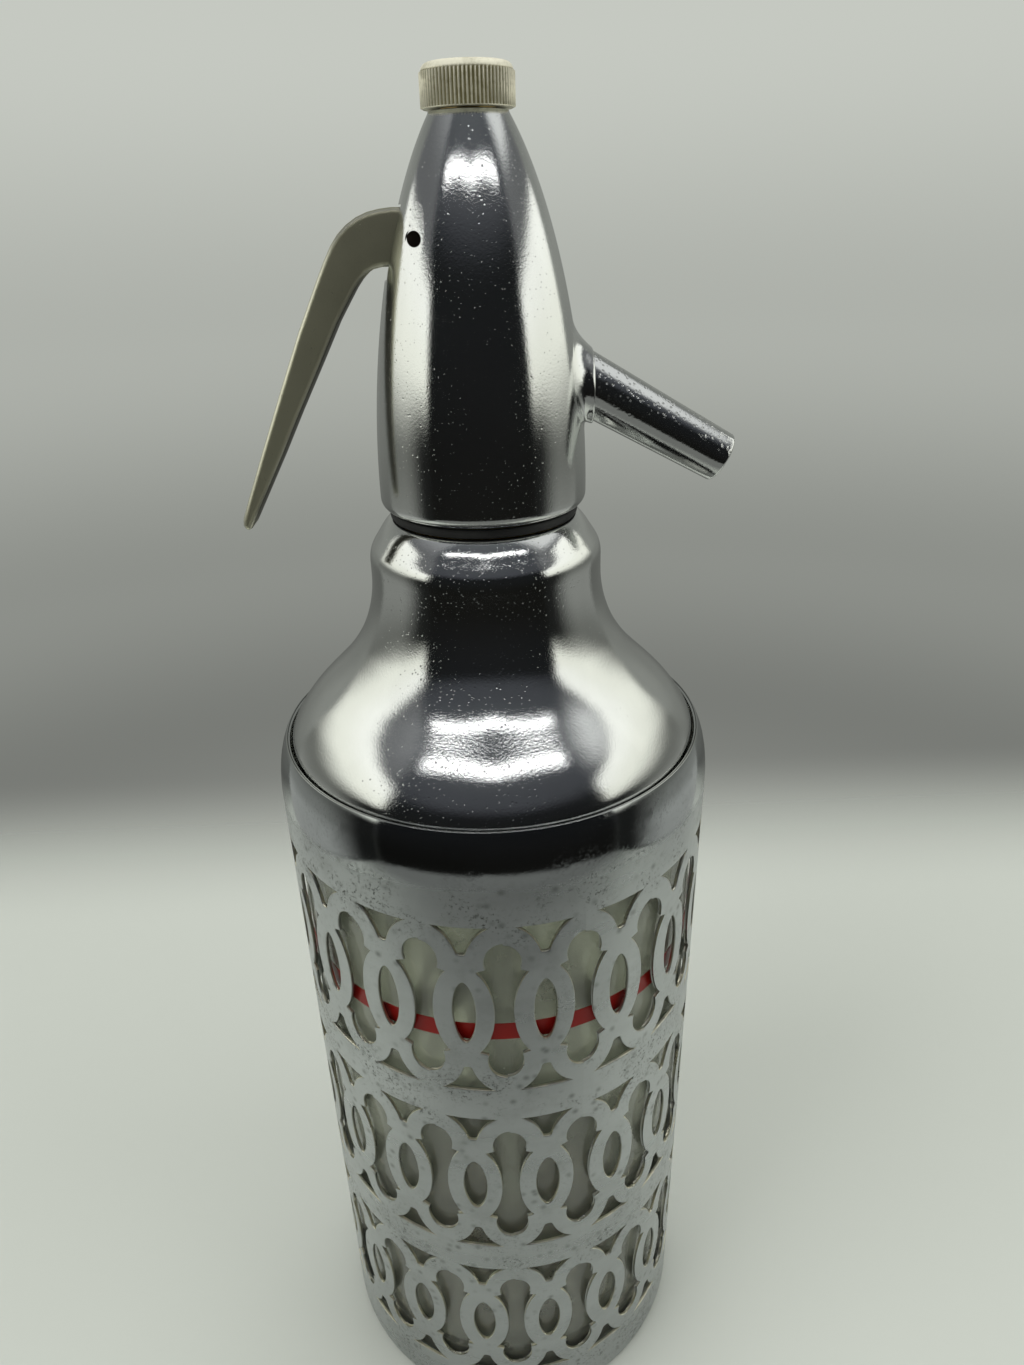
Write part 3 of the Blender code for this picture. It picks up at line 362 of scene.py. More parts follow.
def arc(centre: Point, radii: Point, start: float, end: float, count: int) -> list[Point]:
    """Points along part of an ellipse, angles in degrees from +X.

    Args:
        centre: the ellipse's middle.
        radii: its two radii.
        start: first angle.
        end: last angle.
        count: number of points, both ends included.

    Returns:
        The points in order.
    """
    points = []
    for i in range(count):
        angle = math.radians(start + (end - start) * i / (count - 1))
        points.append((centre[0] + radii[0] * math.cos(angle),
                       centre[1] + radii[1] * math.sin(angle)))
    return points


def offset_profile(points: Sequence[Point], distance: float) -> list[Point]:
    """Shift a profile sideways, for the far side of a wall.

    Args:
        points: the profile.
        distance: how far to its left, or to its right when negative.

    Returns:
        The shifted points in the same order.
    """
    shifted = []
    for i, (radius, height) in enumerate(points):
        before = points[max(i - 1, 0)]
        after = points[min(i + 1, len(points) - 1)]
        along = Vector((after[0] - before[0], after[1] - before[1])).normalized()
        shifted.append((radius - along.y * distance, height + along.x * distance))
    return shifted


# Shader tools

class Graph:
    """Short-hand for building one node tree."""

    def __init__(self, tree: bpy.types.NodeTree) -> None:
        """Keep the tree that nodes are added to."""
        self.tree = tree

    def put(self, target: Socket, value: object) -> None:
        """Set an input's value, or link a socket into it.

        Args:
            target: the input.
            value: a plain value or an output socket.
        """
        if isinstance(value, Socket):
            self.tree.links.new(value, target)
        else:
            target.default_value = value

    def node(self, kind: str, settings: dict | None = None, **inputs: object) -> Node:
        """Add a node.

        Args:
            kind: the node's type, without its ShaderNode prefix.
            settings: the node's own properties.
            inputs: input sockets by name, with underscores for spaces.

        Returns:
            The new node.
        """
        made = self.tree.nodes.new("ShaderNode" + kind)
        for key, value in (settings or {}).items():
            setattr(made, key, value)
        for key, value in inputs.items():
            self.put(made.inputs[key.replace("_", " ")], value)
        return made

    def fill(self, made: Node, *values: object) -> Outputs:
        """Set a node's first inputs in their order.

        Args:
            made: the node.
            values: plain values or sockets.

        Returns:
            The node's outputs.
        """
        for target, value in zip(made.inputs, values):
            self.put(target, value)
        return made.outputs

    def vector(self, operation: str, *values: object) -> Outputs:
        """One operation of the Vector Math node."""
        return self.fill(self.node("VectorMath", {"operation": operation}), *values)

    def math(self, operation: str, first: object, second: object = 0.0) -> Socket:
        """Work out one value from two.

        Args:
            operation: the Math node's operation.
            first: a value or a socket.
            second: the same, where the operation takes two.

        Returns:
            The result's socket.
        """
        return self.fill(self.node("Math", {"operation": operation}), first, second)[0]

    def times(self, first: object, second: object) -> Socket:
        """The product of two values."""
        return self.math("MULTIPLY", first, second)

    def plus(self, first: object, second: object) -> Socket:
        """The sum of two values."""
        return self.math("ADD", first, second)

    def less(self, first: object, second: object) -> Socket:
        """The first value less the second."""
        return self.math("SUBTRACT", first, second)

    def most(self, first: object, second: object) -> Socket:
        """The larger of two values."""
        return self.math("MAXIMUM", first, second)

    def split(self, vector: Socket) -> Outputs:
        """A vector's X, Y and Z."""
        return self.node("SeparateXYZ", Vector=vector).outputs

    def mix(self, share: object, first: object, second: object) -> Socket:
        """Mix two colours.

        Args:
            share: how much of the second colour shows.
            first: a colour or a socket.
            second: the same.

        Returns:
            The mixed colour's socket.
        """
        made = self.node("Mix", {"data_type": "RGBA"})
        for index, value in ((0, share), (6, first), (7, second)):
            self.put(made.inputs[index], value)
        return made.outputs[2]

    def blend(self, share: object, first: Socket, second: Socket) -> Socket:
        """Mix two shaders.

        Args:
            share: how much of the second shader shows.
            first: a shader's socket.
            second: the same.

        Returns:
            The mixed shader's socket.
        """
        return self.fill(self.node("MixShader"), share, first, second)[0]

    def ramp(self, value: object, low: object, high: object, start: object = 0.0,
             end: object = 1.0) -> Socket:
        """Spread a value smoothly from one range over another.

        Args:
            value: the value or socket that is spread.
            low: where it starts.
            high: where it ends.
            start: the result at low.
            end: the result at high.

        Returns:
            The result's socket.
        """
        made = self.node("MapRange", {"interpolation_type": "SMOOTHSTEP"}, Value=value,
                         From_Min=low, From_Max=high, To_Min=start, To_Max=end)
        return made.outputs[0]

    def between(self, share: object, start: object, end: object) -> Socket:
        """A value that goes from start to end as a share grows from 0 to 1."""
        return self.ramp(share, 0.0, 1.0, start, end)

    def noise(self, vector: object, scale: object, detail: float = 3.0,
              roughness: float = 0.55) -> Socket:
        """Draw soft noise over a vector.

        Args:
            vector: the coordinates.
            scale: how fine it is.
            detail: how many finer layers it has.
            roughness: how strong those are.

        Returns:
            The noise's value.
        """
        made = self.node("TexNoise", Vector=vector, Scale=scale, Detail=detail,
                         Roughness=roughness)
        return made.outputs["Fac"]


def new_group(name: str, inputs: dict[str, float], outputs: Iterable[str],
              build: Callable[[Graph, Outputs], dict[str, object]]) -> bpy.types.NodeTree:
    """Build a shader node group with a vector input and named values.

    Args:
        name: the group's name.
        inputs: value inputs and their defaults.
        outputs: names of the value outputs.
        build: adds the nodes and returns a socket for each output.

    Returns:
        The finished group.
    """
    tree = bpy.data.node_groups.new(name, "ShaderNodeTree")
    tree.interface.new_socket("Vector", in_out="INPUT", socket_type="NodeSocketVector")
    for key, value in inputs.items():
        socket = tree.interface.new_socket(key, in_out="INPUT", socket_type="NodeSocketFloat")
        socket.default_value = value
    for key in outputs:
        tree.interface.new_socket(key, in_out="OUTPUT", socket_type="NodeSocketFloat")
    source = tree.nodes.new("NodeGroupInput")
    sink = tree.nodes.new("NodeGroupOutput")
    graph = Graph(tree)
    for key, socket in build(graph, source.outputs).items():
        graph.put(sink.inputs[key], socket)
    return tree


def pits_nodes(graph: Graph, given: Outputs) -> dict[str, object]:
    """Small round pits, gathered in patches.

    Args:
        graph: the group's node tree.
        given: the group's input sockets by name.

    Returns:
        A socket for each output.
    """
    cells = graph.node("TexVoronoi", Vector=given["Vector"], Scale=given["Scale"])
    dots = graph.ramp(cells.outputs["Distance"], given["Size"], 0.0)
    patches = graph.noise(given["Vector"], given["Patch Scale"], 4.0)
    patch = graph.ramp(patches, given["Patch From"], given["Patch To"])
    mask = graph.times(dots, patch)
    return {"Mask": mask, "Patch": patch, "Height": graph.less(1.0, mask)}


def speckle_nodes(graph: Graph, given: Outputs) -> dict[str, object]:
    """Uneven fine specks with larger stains among them.

    Args:
        graph: the group's node tree.
        given: the group's input sockets by name.

    Returns:
        A socket for each output.
    """
    vector = given["Vector"]
    fine = graph.noise(vector, given["Scale"], 5.0, 0.7)
    specks = graph.ramp(fine, given["Specks From"], given["Specks To"])
    wide = graph.noise(vector, given["Stain Scale"], 6.0, 0.65)
    stains = graph.ramp(wide, given["Stains From"], given["Stains To"])
    return {"Specks": specks, "Stains": stains, "Height": fine}


def grain_nodes(graph: Graph, given: Outputs) -> dict[str, object]:
    """Fine surface grain and a slow cloud for gloss that varies.

    Args:
        graph: the group's node tree.
        given: the group's input sockets by name.

    Returns:
        A socket for each output.
    """
    vector = given["Vector"]
    fine = graph.noise(vector, given["Scale"], 6.0, 0.6)
    cloud = graph.noise(vector, given["Cloud Scale"], 3.0, 0.5)
    return {"Grain": fine, "Cloud": graph.ramp(cloud, 0.3, 0.7)}


class Effects:
    """The shader groups that several finishes share."""

    def __init__(self) -> None:
        """Build each group once."""
        self.pits = new_group("small_pits", {"Scale": 900.0, "Size": 0.25, "Patch Scale": 40.0,
                                             "Patch From": 0.5, "Patch To": 0.7},
                              ("Mask", "Patch", "Height"), pits_nodes)
        self.speckle = new_group("specks_and_stains",
                                 {"Scale": 900.0, "Specks From": 0.6, "Specks To": 0.7,
                                  "Stain Scale": 60.0, "Stains From": 0.55, "Stains To": 0.75},
                                 ("Specks", "Stains", "Height"), speckle_nodes)
        self.grain = new_group("surface_grain", {"Scale": 1500.0, "Cloud Scale": 40.0},
                               ("Grain", "Cloud"), grain_nodes)


@dataclass
class Dressing:
    """A material under construction: its graph, shader and coordinates."""

    material: Material
    graph: Graph
    shader: Node
    place: Socket

    def use(self, group: bpy.types.NodeTree, vector: Socket | None = None,
            **values: object) -> Outputs:
        """Place a shared group with this finish's own values.

        Args:
            group: the shared shader group.
            vector: coordinates, the object's own when left out.
            values: inputs by name, with underscores for spaces.

        Returns:
            The group's outputs by name.
        """
        made = self.graph.tree.nodes.new("ShaderNodeGroup")
        made.node_tree = group
        self.graph.put(made.inputs["Vector"], vector or self.place)
        for key, value in values.items():
            self.graph.put(made.inputs[key.replace("_", " ")], value)
        return made.outputs

    def rim(self) -> Socket:
        """How far a point counts as a worn or cut edge."""
        return self.graph.node("Attribute", {"attribute_name": "cut_edge"}).outputs["Fac"]

    def facing(self) -> Outputs:
        """The parts of the surface's own direction."""
        return self.graph.split(self.graph.node("TexCoord").outputs["Normal"])

    def stretch(self, x: float, y: float, z: float) -> Socket:
        """Object coordinates scaled along each axis."""
        made = self.graph.node("Mapping", Vector=self.place, Scale=(x, y, z))
        return made.outputs[0]

    def bump(self, height: object, distance: float, strength: float = 1.0) -> None:
        """Feed a height into the shader's normal."""
        made = self.graph.node("Bump", Height=height, Distance=distance, Strength=strength)
        self.graph.put(self.shader.inputs["Normal"], made.outputs[0])

    def set(self, **inputs: object) -> None:
        """Set or link the shader's own inputs by name."""
        for key, value in inputs.items():
            self.graph.put(self.shader.inputs[key.replace("_", " ")], value)


def dressing(name: str) -> Dressing:
    """Start a material with a Principled shader and object coordinates.

    Args:
        name: the material's name.

    Returns:
        The material under construction.
    """
    made = bpy.data.materials.new(name)
    made.use_nodes = True
    graph = Graph(made.node_tree)
    shader = made.node_tree.nodes["Principled BSDF"]
    place = graph.node("TexCoord").outputs["Object"]
    return Dressing(made, graph, shader, place)


@dataclass(frozen=True)
class Finish:
    """A named finish. Each kind paints its own material."""

    name: str

    def build(self, effects: Effects) -> Material:
        """Make the material.

        Args:
            effects: the shared shader groups.

        Returns:
            The finished material.
        """
        made = dressing(self.name)
        self.paint(made, effects)
        LOG.info("%s: finish ready", self.name)
        return made.material

    def paint(self, made: Dressing, effects: Effects) -> None:
        """Fill the material in, which each kind does in its own way."""
        raise NotImplementedError


@dataclass(frozen=True)
class MirrorPlate(Finish):
    """Polished plating with haze, fine pits and wiped streaks."""

    colour: Colour = (0.69, 0.70, 0.69, 1)
    haze: float = 0.1
    pit_size: float = 0.2
    pit_from: float = 0.6
    roughness: float = 0.05
    stain: float = 0.3
    pit_roughness: float = 0.12
    worn_way: tuple[float, float, float] = (0, 0, 1)
    worn_span: Point = (1.0, 1.1)
    hole: tuple[float, float, float] | None = None
    hole_radius: float = 1.46 * MM
    hole_edge: float = 0.03 * MM
    film_shade: float = 0.92
    grime: Colour = (0.2, 0.2, 0.19, 1)
    # painted shade inside the cross hole
    hole_shade: Colour = (0.02, 0.014, 0.011, 1)
    depth: float = 0.06 * MM

    def worn(self, made: Dressing) -> Socket:
        """Mask the plating that is pitted most, growing along one direction.

        Args:
            made: the material under construction.

        Returns:
            The mask.
        """
        along = made.graph.vector("DOT_PRODUCT", made.place, self.worn_way)["Value"]
        low, high = self.worn_span
        return made.graph.ramp(along, low * MM, high * MM)

    def shaded_hole(self, made: Dressing) -> Socket:
        """Mask the inside of a cross hole, which gets a painted shade.

        Args:
            made: the material under construction.

        Returns:
            The mask.
        """
        shift = tuple(-c for c in self.hole)
        flat = made.graph.vector("MULTIPLY_ADD", made.place, (1, 0, 1), shift)["Vector"]
        away = made.graph.vector("LENGTH", flat)["Value"]
        return made.graph.ramp(away, self.hole_radius, self.hole_radius - self.hole_edge)

    def paint(self, made: Dressing, effects: Effects) -> None:
        """Mix the plating's tone and gloss, then add its pits and film.

        Args:
            made: the material under construction.
            effects: the shared shader groups.
        """
        graph = made.graph
        worn = self.worn(made)
        pits = made.use(effects.pits, Scale=1000.0, Size=self.pit_size, Patch_Scale=55.0,
                        Patch_From=graph.between(worn, self.pit_from, 0.30),
                        Patch_To=graph.between(worn, self.pit_from + 0.14, 0.52))
        dust = made.use(effects.pits, Scale=520.0, Size=graph.between(worn, 0.055, 0.16),
                        Patch_Scale=24.0, Patch_From=graph.between(worn, 0.5, 0.36),
                        Patch_To=graph.between(worn, 0.66, 0.56))
        film = made.use(effects.grain, made.stretch(1, 1, 0.16), Scale=420.0, Cloud_Scale=70.0)
        patch = made.use(effects.grain, Scale=1900.0, Cloud_Scale=26.0)
        marks = graph.most(pits["Mask"], dust["Mask"])
        filmed = tuple(self.film_shade * c for c in self.colour[:3]) + (1,)
        tone = graph.mix(film["Cloud"], self.colour, filmed)
        tone = graph.mix(graph.times(marks, self.stain), tone, self.grime)
        haze = graph.times(patch["Cloud"], self.haze * 0.6)
        wiped = graph.times(film["Cloud"], self.haze * 0.4)
        rough = graph.plus(graph.plus(haze, wiped), self.roughness)
        rough = graph.plus(rough, graph.times(marks, self.pit_roughness))
        if self.hole:
            # the inside of the cross hole gets painted shade, and is rougher
            hole_shade_mask = self.shaded_hole(made)
            tone = graph.mix(hole_shade_mask, tone, self.hole_shade)
            rough = graph.plus(rough, graph.times(hole_shade_mask, 0.6))
        made.set(Base_Color=tone, Metallic=1.0, Roughness=rough)
        height = graph.less(graph.times(patch["Grain"], 0.45), marks)
        made.bump(height, self.depth, 0.8)


@dataclass(frozen=True)
class SheetPlate(Finish):
    """Satin plated sheet with dark specks, dull blotches, and cut edges with painted highlight and
    shade.
    """

    name: str = "jacket_plate"
    colour: Colour = (0.45, 0.468, 0.472, 1)
    rubbed: Colour = (0.52, 0.54, 0.545, 1)
    shadow: Colour = (0.15, 0.155, 0.145, 1)
    # bright cut edges: bare metal, brightened as a painted highlight where they face up
    edge: Colour = (0.92, 0.88, 0.72, 1)
    # painted shade on cut edges that face down
    edge_shade: Colour = (0.24, 0.245, 0.21, 1)
    band_heights: tuple[float, ...] = (0.0085, 0.07255, 0.13385, 0.1965)
    band_fade: Point = (0.017, 0.004)
    lip: Point = (199 * MM, 203 * MM)
    # painted shade on the lip's inner side, facing the gap under the shoulder
    lip_inner_shade: Colour = (0.16, 0.165, 0.16, 1)
    dull: Colour = (0.34, 0.35, 0.345, 1)
    depth: float = 0.04 * MM

    def bands(self, made: Dressing, height: Socket) -> Socket:
        """Mask the plain bands between the rows.

        Args:
            made: the material under construction.
            height: height above the floor.

        Returns:
            The mask, strongest in the middle of each band.
        """
        graph = made.graph
        total: object = 0.0
        for middle in self.band_heights:
            away = graph.math("ABSOLUTE", graph.less(height, middle))
            total = graph.most(total, graph.ramp(away, *self.band_fade))
        return total

    def paint(self, made: Dressing, effects: Effects) -> None:
        """Mix the sheet's tones by band, lip and edge, then add its specks.

        Args:
            made: the material under construction.
            effects: the shared shader groups.
        """
        graph = made.graph
        height = graph.split(made.place)["Z"]
        on_lip = graph.ramp(height, *self.lip)
        fine = made.use(effects.speckle, Scale=1150.0, Specks_From=0.53, Specks_To=0.62,
                        Stain_Scale=105.0, Stains_From=0.5, Stains_To=0.7)
        coarse = made.use(effects.speckle, Scale=430.0, Specks_From=0.6, Specks_To=0.7,
                          Stain_Scale=40.0, Stains_From=0.44, Stains_To=0.6)
        blotches = made.use(effects.pits, Scale=260.0, Size=0.36, Patch_Scale=70.0,
                            Patch_From=0.38, Patch_To=0.56)
        rubbed = made.use(effects.grain, made.stretch(0.25, 0.25, 2.0), Scale=500.0,
                          Cloud_Scale=60.0)
        banded = graph.times(self.bands(made, height), graph.between(on_lip, 1.0, 0.1))
        patches = graph.times(coarse["Stains"], graph.between(banded, 0.2, 1.0))
        specks = graph.times(graph.most(fine["Specks"], coarse["Specks"]), patches)
        dull = graph.times(blotches["Mask"], graph.between(on_lip, 0.6, 0.0))
        body = graph.mix(rubbed["Cloud"], self.colour, self.rubbed)
        body = graph.mix(graph.times(fine["Stains"], 0.35), body, self.dull)
        body = graph.mix(graph.most(graph.times(specks, 0.95), dull), body, self.shadow)
        tone = self.cut_edges(made, on_lip, body)
        made.set(Base_Color=tone, Metallic=1.0)
        rough = graph.between(rubbed["Cloud"], 0.27, 0.34)
        rough = graph.mix(on_lip, rough, graph.between(rubbed["Cloud"], 0.05, 0.08))
        rough = graph.plus(rough, graph.times(graph.most(specks, dull), 0.15))
        made.set(Roughness=rough)
        made.bump(graph.less(graph.times(fine["Height"], 0.3), specks), self.depth, 0.8)

    def cut_edges(self, made: Dressing, on_lip: Socket, body: Socket) -> Socket:
        """Lay cut edges with painted highlight and shade, and the lip's inner side in painted
        shade, over the sheet.

        Args:
            made: the material under construction.
            on_lip: mask of the lip.
            body: the sheet's own colour.

        Returns:
            The finished colour.
        """
        graph = made.graph
        rim = made.rim()
        facing = made.facing()
        spot = graph.split(made.place)
        outward = graph.plus(graph.times(facing["X"], spot["X"]),
                             graph.times(facing["Y"], spot["Y"]))
        # painted shade on the inner side of the lip
        lip_shade_mask = graph.times(graph.ramp(outward, 0.0, -0.02), on_lip)
        # cut edges that face up get a painted highlight, those that face down painted shade
        upwards = graph.ramp(facing["Z"], -0.15, 0.45)
        edge = graph.mix(upwards, self.edge_shade, self.edge)
        worn = graph.ramp(graph.noise(made.place, 120.0, 4.0), 0.36, 0.6)
        bright = graph.times(graph.ramp(rim, 0.1, 0.7), graph.between(worn, 0.45, 1.0))
        bright = graph.times(bright, graph.between(on_lip, 1.0, 0.25))
        return graph.mix(lip_shade_mask, graph.mix(bright, body, edge), self.lip_inner_shade)


@dataclass(frozen=True)
class CastAlloy(Finish):
    """Satin cast metal with fine grain, rubbed bright along its edges, which also serves as a
    painted highlight.
    """

    colour: Colour = (0.60, 0.585, 0.43, 1)
    dark: Colour = (0.40, 0.39, 0.285, 1)
    roughness: float = 0.36
    speck: Colour = (0.12, 0.11, 0.1, 1)
    # rubbed edge tone, also used as a painted highlight
    rubbed: Colour = (0.72, 0.70, 0.64, 1)
    # painted shade for the inner side that faces the head
    shaded: Colour = (0.14, 0.135, 0.115, 1)
    depth: float = 0.03 * MM

    def paint(self, made: Dressing, effects: Effects) -> None:
        """Mix the casting's tones, with rubbed edges also brightened as a painted highlight and
        painted shade on its inner side.

        Args:
            made: the material under construction.
            effects: the shared shader groups.
        """
        graph = made.graph
        grain = made.use(effects.grain, Scale=2200.0, Cloud_Scale=55.0)
        marks = made.use(effects.speckle, Scale=700.0, Specks_From=0.62, Specks_To=0.72,
                         Stain_Scale=130.0, Stains_From=0.55, Stains_To=0.8)
        rim = made.rim()
        tone = graph.mix(graph.times(grain["Cloud"], 0.45), self.colour, self.dark)
        tone = graph.mix(graph.times(marks["Specks"], 0.5), tone, self.speck)
        # rubbed edges, brightened also as a painted highlight
        tone = graph.mix(graph.times(rim, 0.6), tone, self.rubbed)
        # painted shade on the inner side, which faces the head
        inner_shade_mask = graph.ramp(made.facing()["X"], 0.55, 0.8)
        made.set(Base_Color=graph.mix(inner_shade_mask, tone, self.shaded), Metallic=0.92)
        rough = graph.plus(graph.times(grain["Grain"], 0.12), self.roughness)
        made.set(Roughness=graph.less(rough, graph.times(rim, 0.1)))
        made.bump(graph.less(grain["Grain"], marks["Specks"]), self.depth)


@dataclass(frozen=True)
class KnurledAlloy(Finish):
    """Ageing knurled metal: bright on its ridges, dull and dirty between them."""

    name: str = "cap_alloy"
    # ridge tone raised in part as a painted highlight
    ridge: Colour = (0.95, 0.91, 0.74, 1)
    valley: Colour = (0.25, 0.225, 0.11, 1)
    depth: float = 0.04 * MM

    def paint(self, made: Dressing, effects: Effects) -> None:
        """Mix bright ridges with dull, dirty valleys.

        Args:
            made: the material under construction.
            effects: the shared shader groups.
        """
        graph = made.graph
        rim = made.rim()
        dirt = made.use(effects.speckle, Scale=800.0, Specks_From=0.5, Specks_To=0.66,
                        Stain_Scale=190.0, Stains_From=0.5, Stains_To=0.68)
        grime = graph.most(graph.times(dirt["Stains"], 0.6), graph.times(dirt["Specks"], 0.35))
        high = graph.less(graph.ramp(rim, 0.0, 1.0), graph.times(grime, 0.6))
        made.set(Base_Color=graph.mix(high, self.valley, self.ridge))
        # the top edge is made less metallic so lamps light it, a painted highlight
        made.set(Metallic=graph.ramp(rim, 1.02, 1.25, 0.62, 0.25))
        made.set(Roughness=graph.between(high, 0.6, 0.4))
        made.bump(dirt["Height"], self.depth)


@dataclass(frozen=True)
class PlainMetal(Finish):
    """Turned brass or steel of the inner pieces, with fine lathe lines."""

    colour: Colour
    dark: Colour
    roughness: float = 0.28
    depth: float = 0.02 * MM

    def paint(self, made: Dressing, effects: Effects) -> None:
        """Lay cloudy tones and lathe lines.

        Args:
            made: the material under construction.
            effects: the shared shader groups.
        """
        graph = made.graph
        lines = made.use(effects.grain, made.stretch(0.02, 0.02, 1.0), Scale=2600.0,
                         Cloud_Scale=300.0)
        cloud = made.use(effects.grain, Scale=600.0, Cloud_Scale=90.0)
        tone = graph.mix(graph.times(cloud["Cloud"], 0.6), self.colour, self.dark)
        rough = graph.plus(graph.times(lines["Grain"], 0.15), self.roughness)
        made.set(Base_Color=tone, Metallic=1.0, Roughness=rough)
        made.bump(lines["Grain"], self.depth)


@dataclass(frozen=True)
class SoftStuff(Finish):
    """Rubber, cork or plastic with a fine uneven surface."""

    colour: Colour
    second: Colour
    roughness: float = 0.6
    scale: float = 500.0
    depth: float = 0.06 * MM

    def paint(self, made: Dressing, effects: Effects) -> None:
        """Mix the two tones and add the grain.

        Args:
            made: the material under construction.
            effects: the shared shader groups.
        """
        graph = made.graph
        grain = made.use(effects.grain, Scale=self.scale, Cloud_Scale=self.scale / 5)
        mixed = graph.times(grain["Cloud"], grain["Grain"])
        made.set(Base_Color=graph.mix(mixed, self.colour, self.second))
        made.set(Roughness=graph.plus(graph.times(grain["Grain"], 0.15), self.roughness))
        made.bump(grain["Grain"], self.depth)


@dataclass(frozen=True)
class ThickGlass(Finish):
    """Clear, faintly green glass with a dry film and slow waves."""

    name: str = "bottle_glass"
    colour: Colour = (0.72, 0.735, 0.65, 1)
    dry_film: Colour = (0.58, 0.595, 0.52, 1)
    wave: float = 0.4 * MM

    def paint(self, made: Dressing, effects: Effects) -> None:
        """Lay a dry film and slow waves over clear glass.

        Args:
            made: the material under construction.
            effects: the shared shader groups.
        """
        graph = made.graph
        wave = made.use(effects.grain, made.stretch(1, 1, 0.35), Scale=34.0, Cloud_Scale=60.0)
        film = made.use(effects.speckle, Scale=700.0, Specks_From=0.6, Specks_To=0.72,
                        Stain_Scale=80.0, Stains_From=0.5, Stains_To=0.72)
        tone = graph.mix(graph.times(film["Stains"], 0.25), self.colour, self.dry_film)
        uneven = graph.plus(film["Stains"], wave["Cloud"])
        made.set(Base_Color=tone, Metallic=0.0, Transmission_Weight=0.92, IOR=1.5)
        made.set(Roughness=graph.ramp(uneven, 0.2, 1.8, 0.12, 0.3))
        made.bump(wave["Grain"], self.wave, 0.5)


@dataclass(frozen=True)
class PaintedLine(Finish):
    """Red enamel of the fill line, a little chalky and scuffed."""

    name: str = "fill_line_enamel"
    colour: Colour = (0.21, 0.007, 0.005, 1)
    scuffed: Colour = (0.14, 0.006, 0.005, 1)
    depth: float = 0.03 * MM

    def paint(self, made: Dressing, effects: Effects) -> None:
        """Scuff the enamel and dull its gloss in places.

        Args:
            made: the material under construction.
            effects: the shared shader groups.
        """
        graph = made.graph
        scuffs = made.use(effects.speckle, Scale=900.0, Specks_From=0.6, Specks_To=0.7,
                          Stain_Scale=150.0, Stains_From=0.5, Stains_To=0.7)
        tone = graph.mix(graph.times(scuffs["Stains"], 0.5), self.colour, self.scuffed)
        made.set(Base_Color=tone, Specular_IOR_Level=0.2,
                 Roughness=graph.between(scuffs["Specks"], 0.3, 0.5))
        made.bump(scuffs["Height"], self.depth)


# Pieces

def place(piece: Piece, body: str, slot: str, material: Material, *nodes: str) -> None:
    """Dress a new piece, tie it to its body and hide the solids that it stands for.

    Args:
        piece: the finished object.
        body: the body that it rides on.
        slot: the record's material slot; not used.
        material: its finish.
        nodes: solids that it replaces.
    """
    piece.data.materials.clear()
    piece.data.materials.append(material)
    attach(piece, body)
    if nodes:
        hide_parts(*nodes)
    LOG.info("%s: %d faces on %s", piece.name, len(piece.data.polygons), body)


def mark_edges(item: Piece, test: Callable[[Vector], float]) -> None:
    """Store how far each vertex counts as a worn or cut edge.

    Args:
        item: the piece.
        test: takes a vertex's place and gives its share.
    """
    layer = item.data.attributes.new("cut_edge", "FLOAT", "POINT")
    for vertex in item.data.vertices:
        layer.data[vertex.index].value = test(vertex.co)


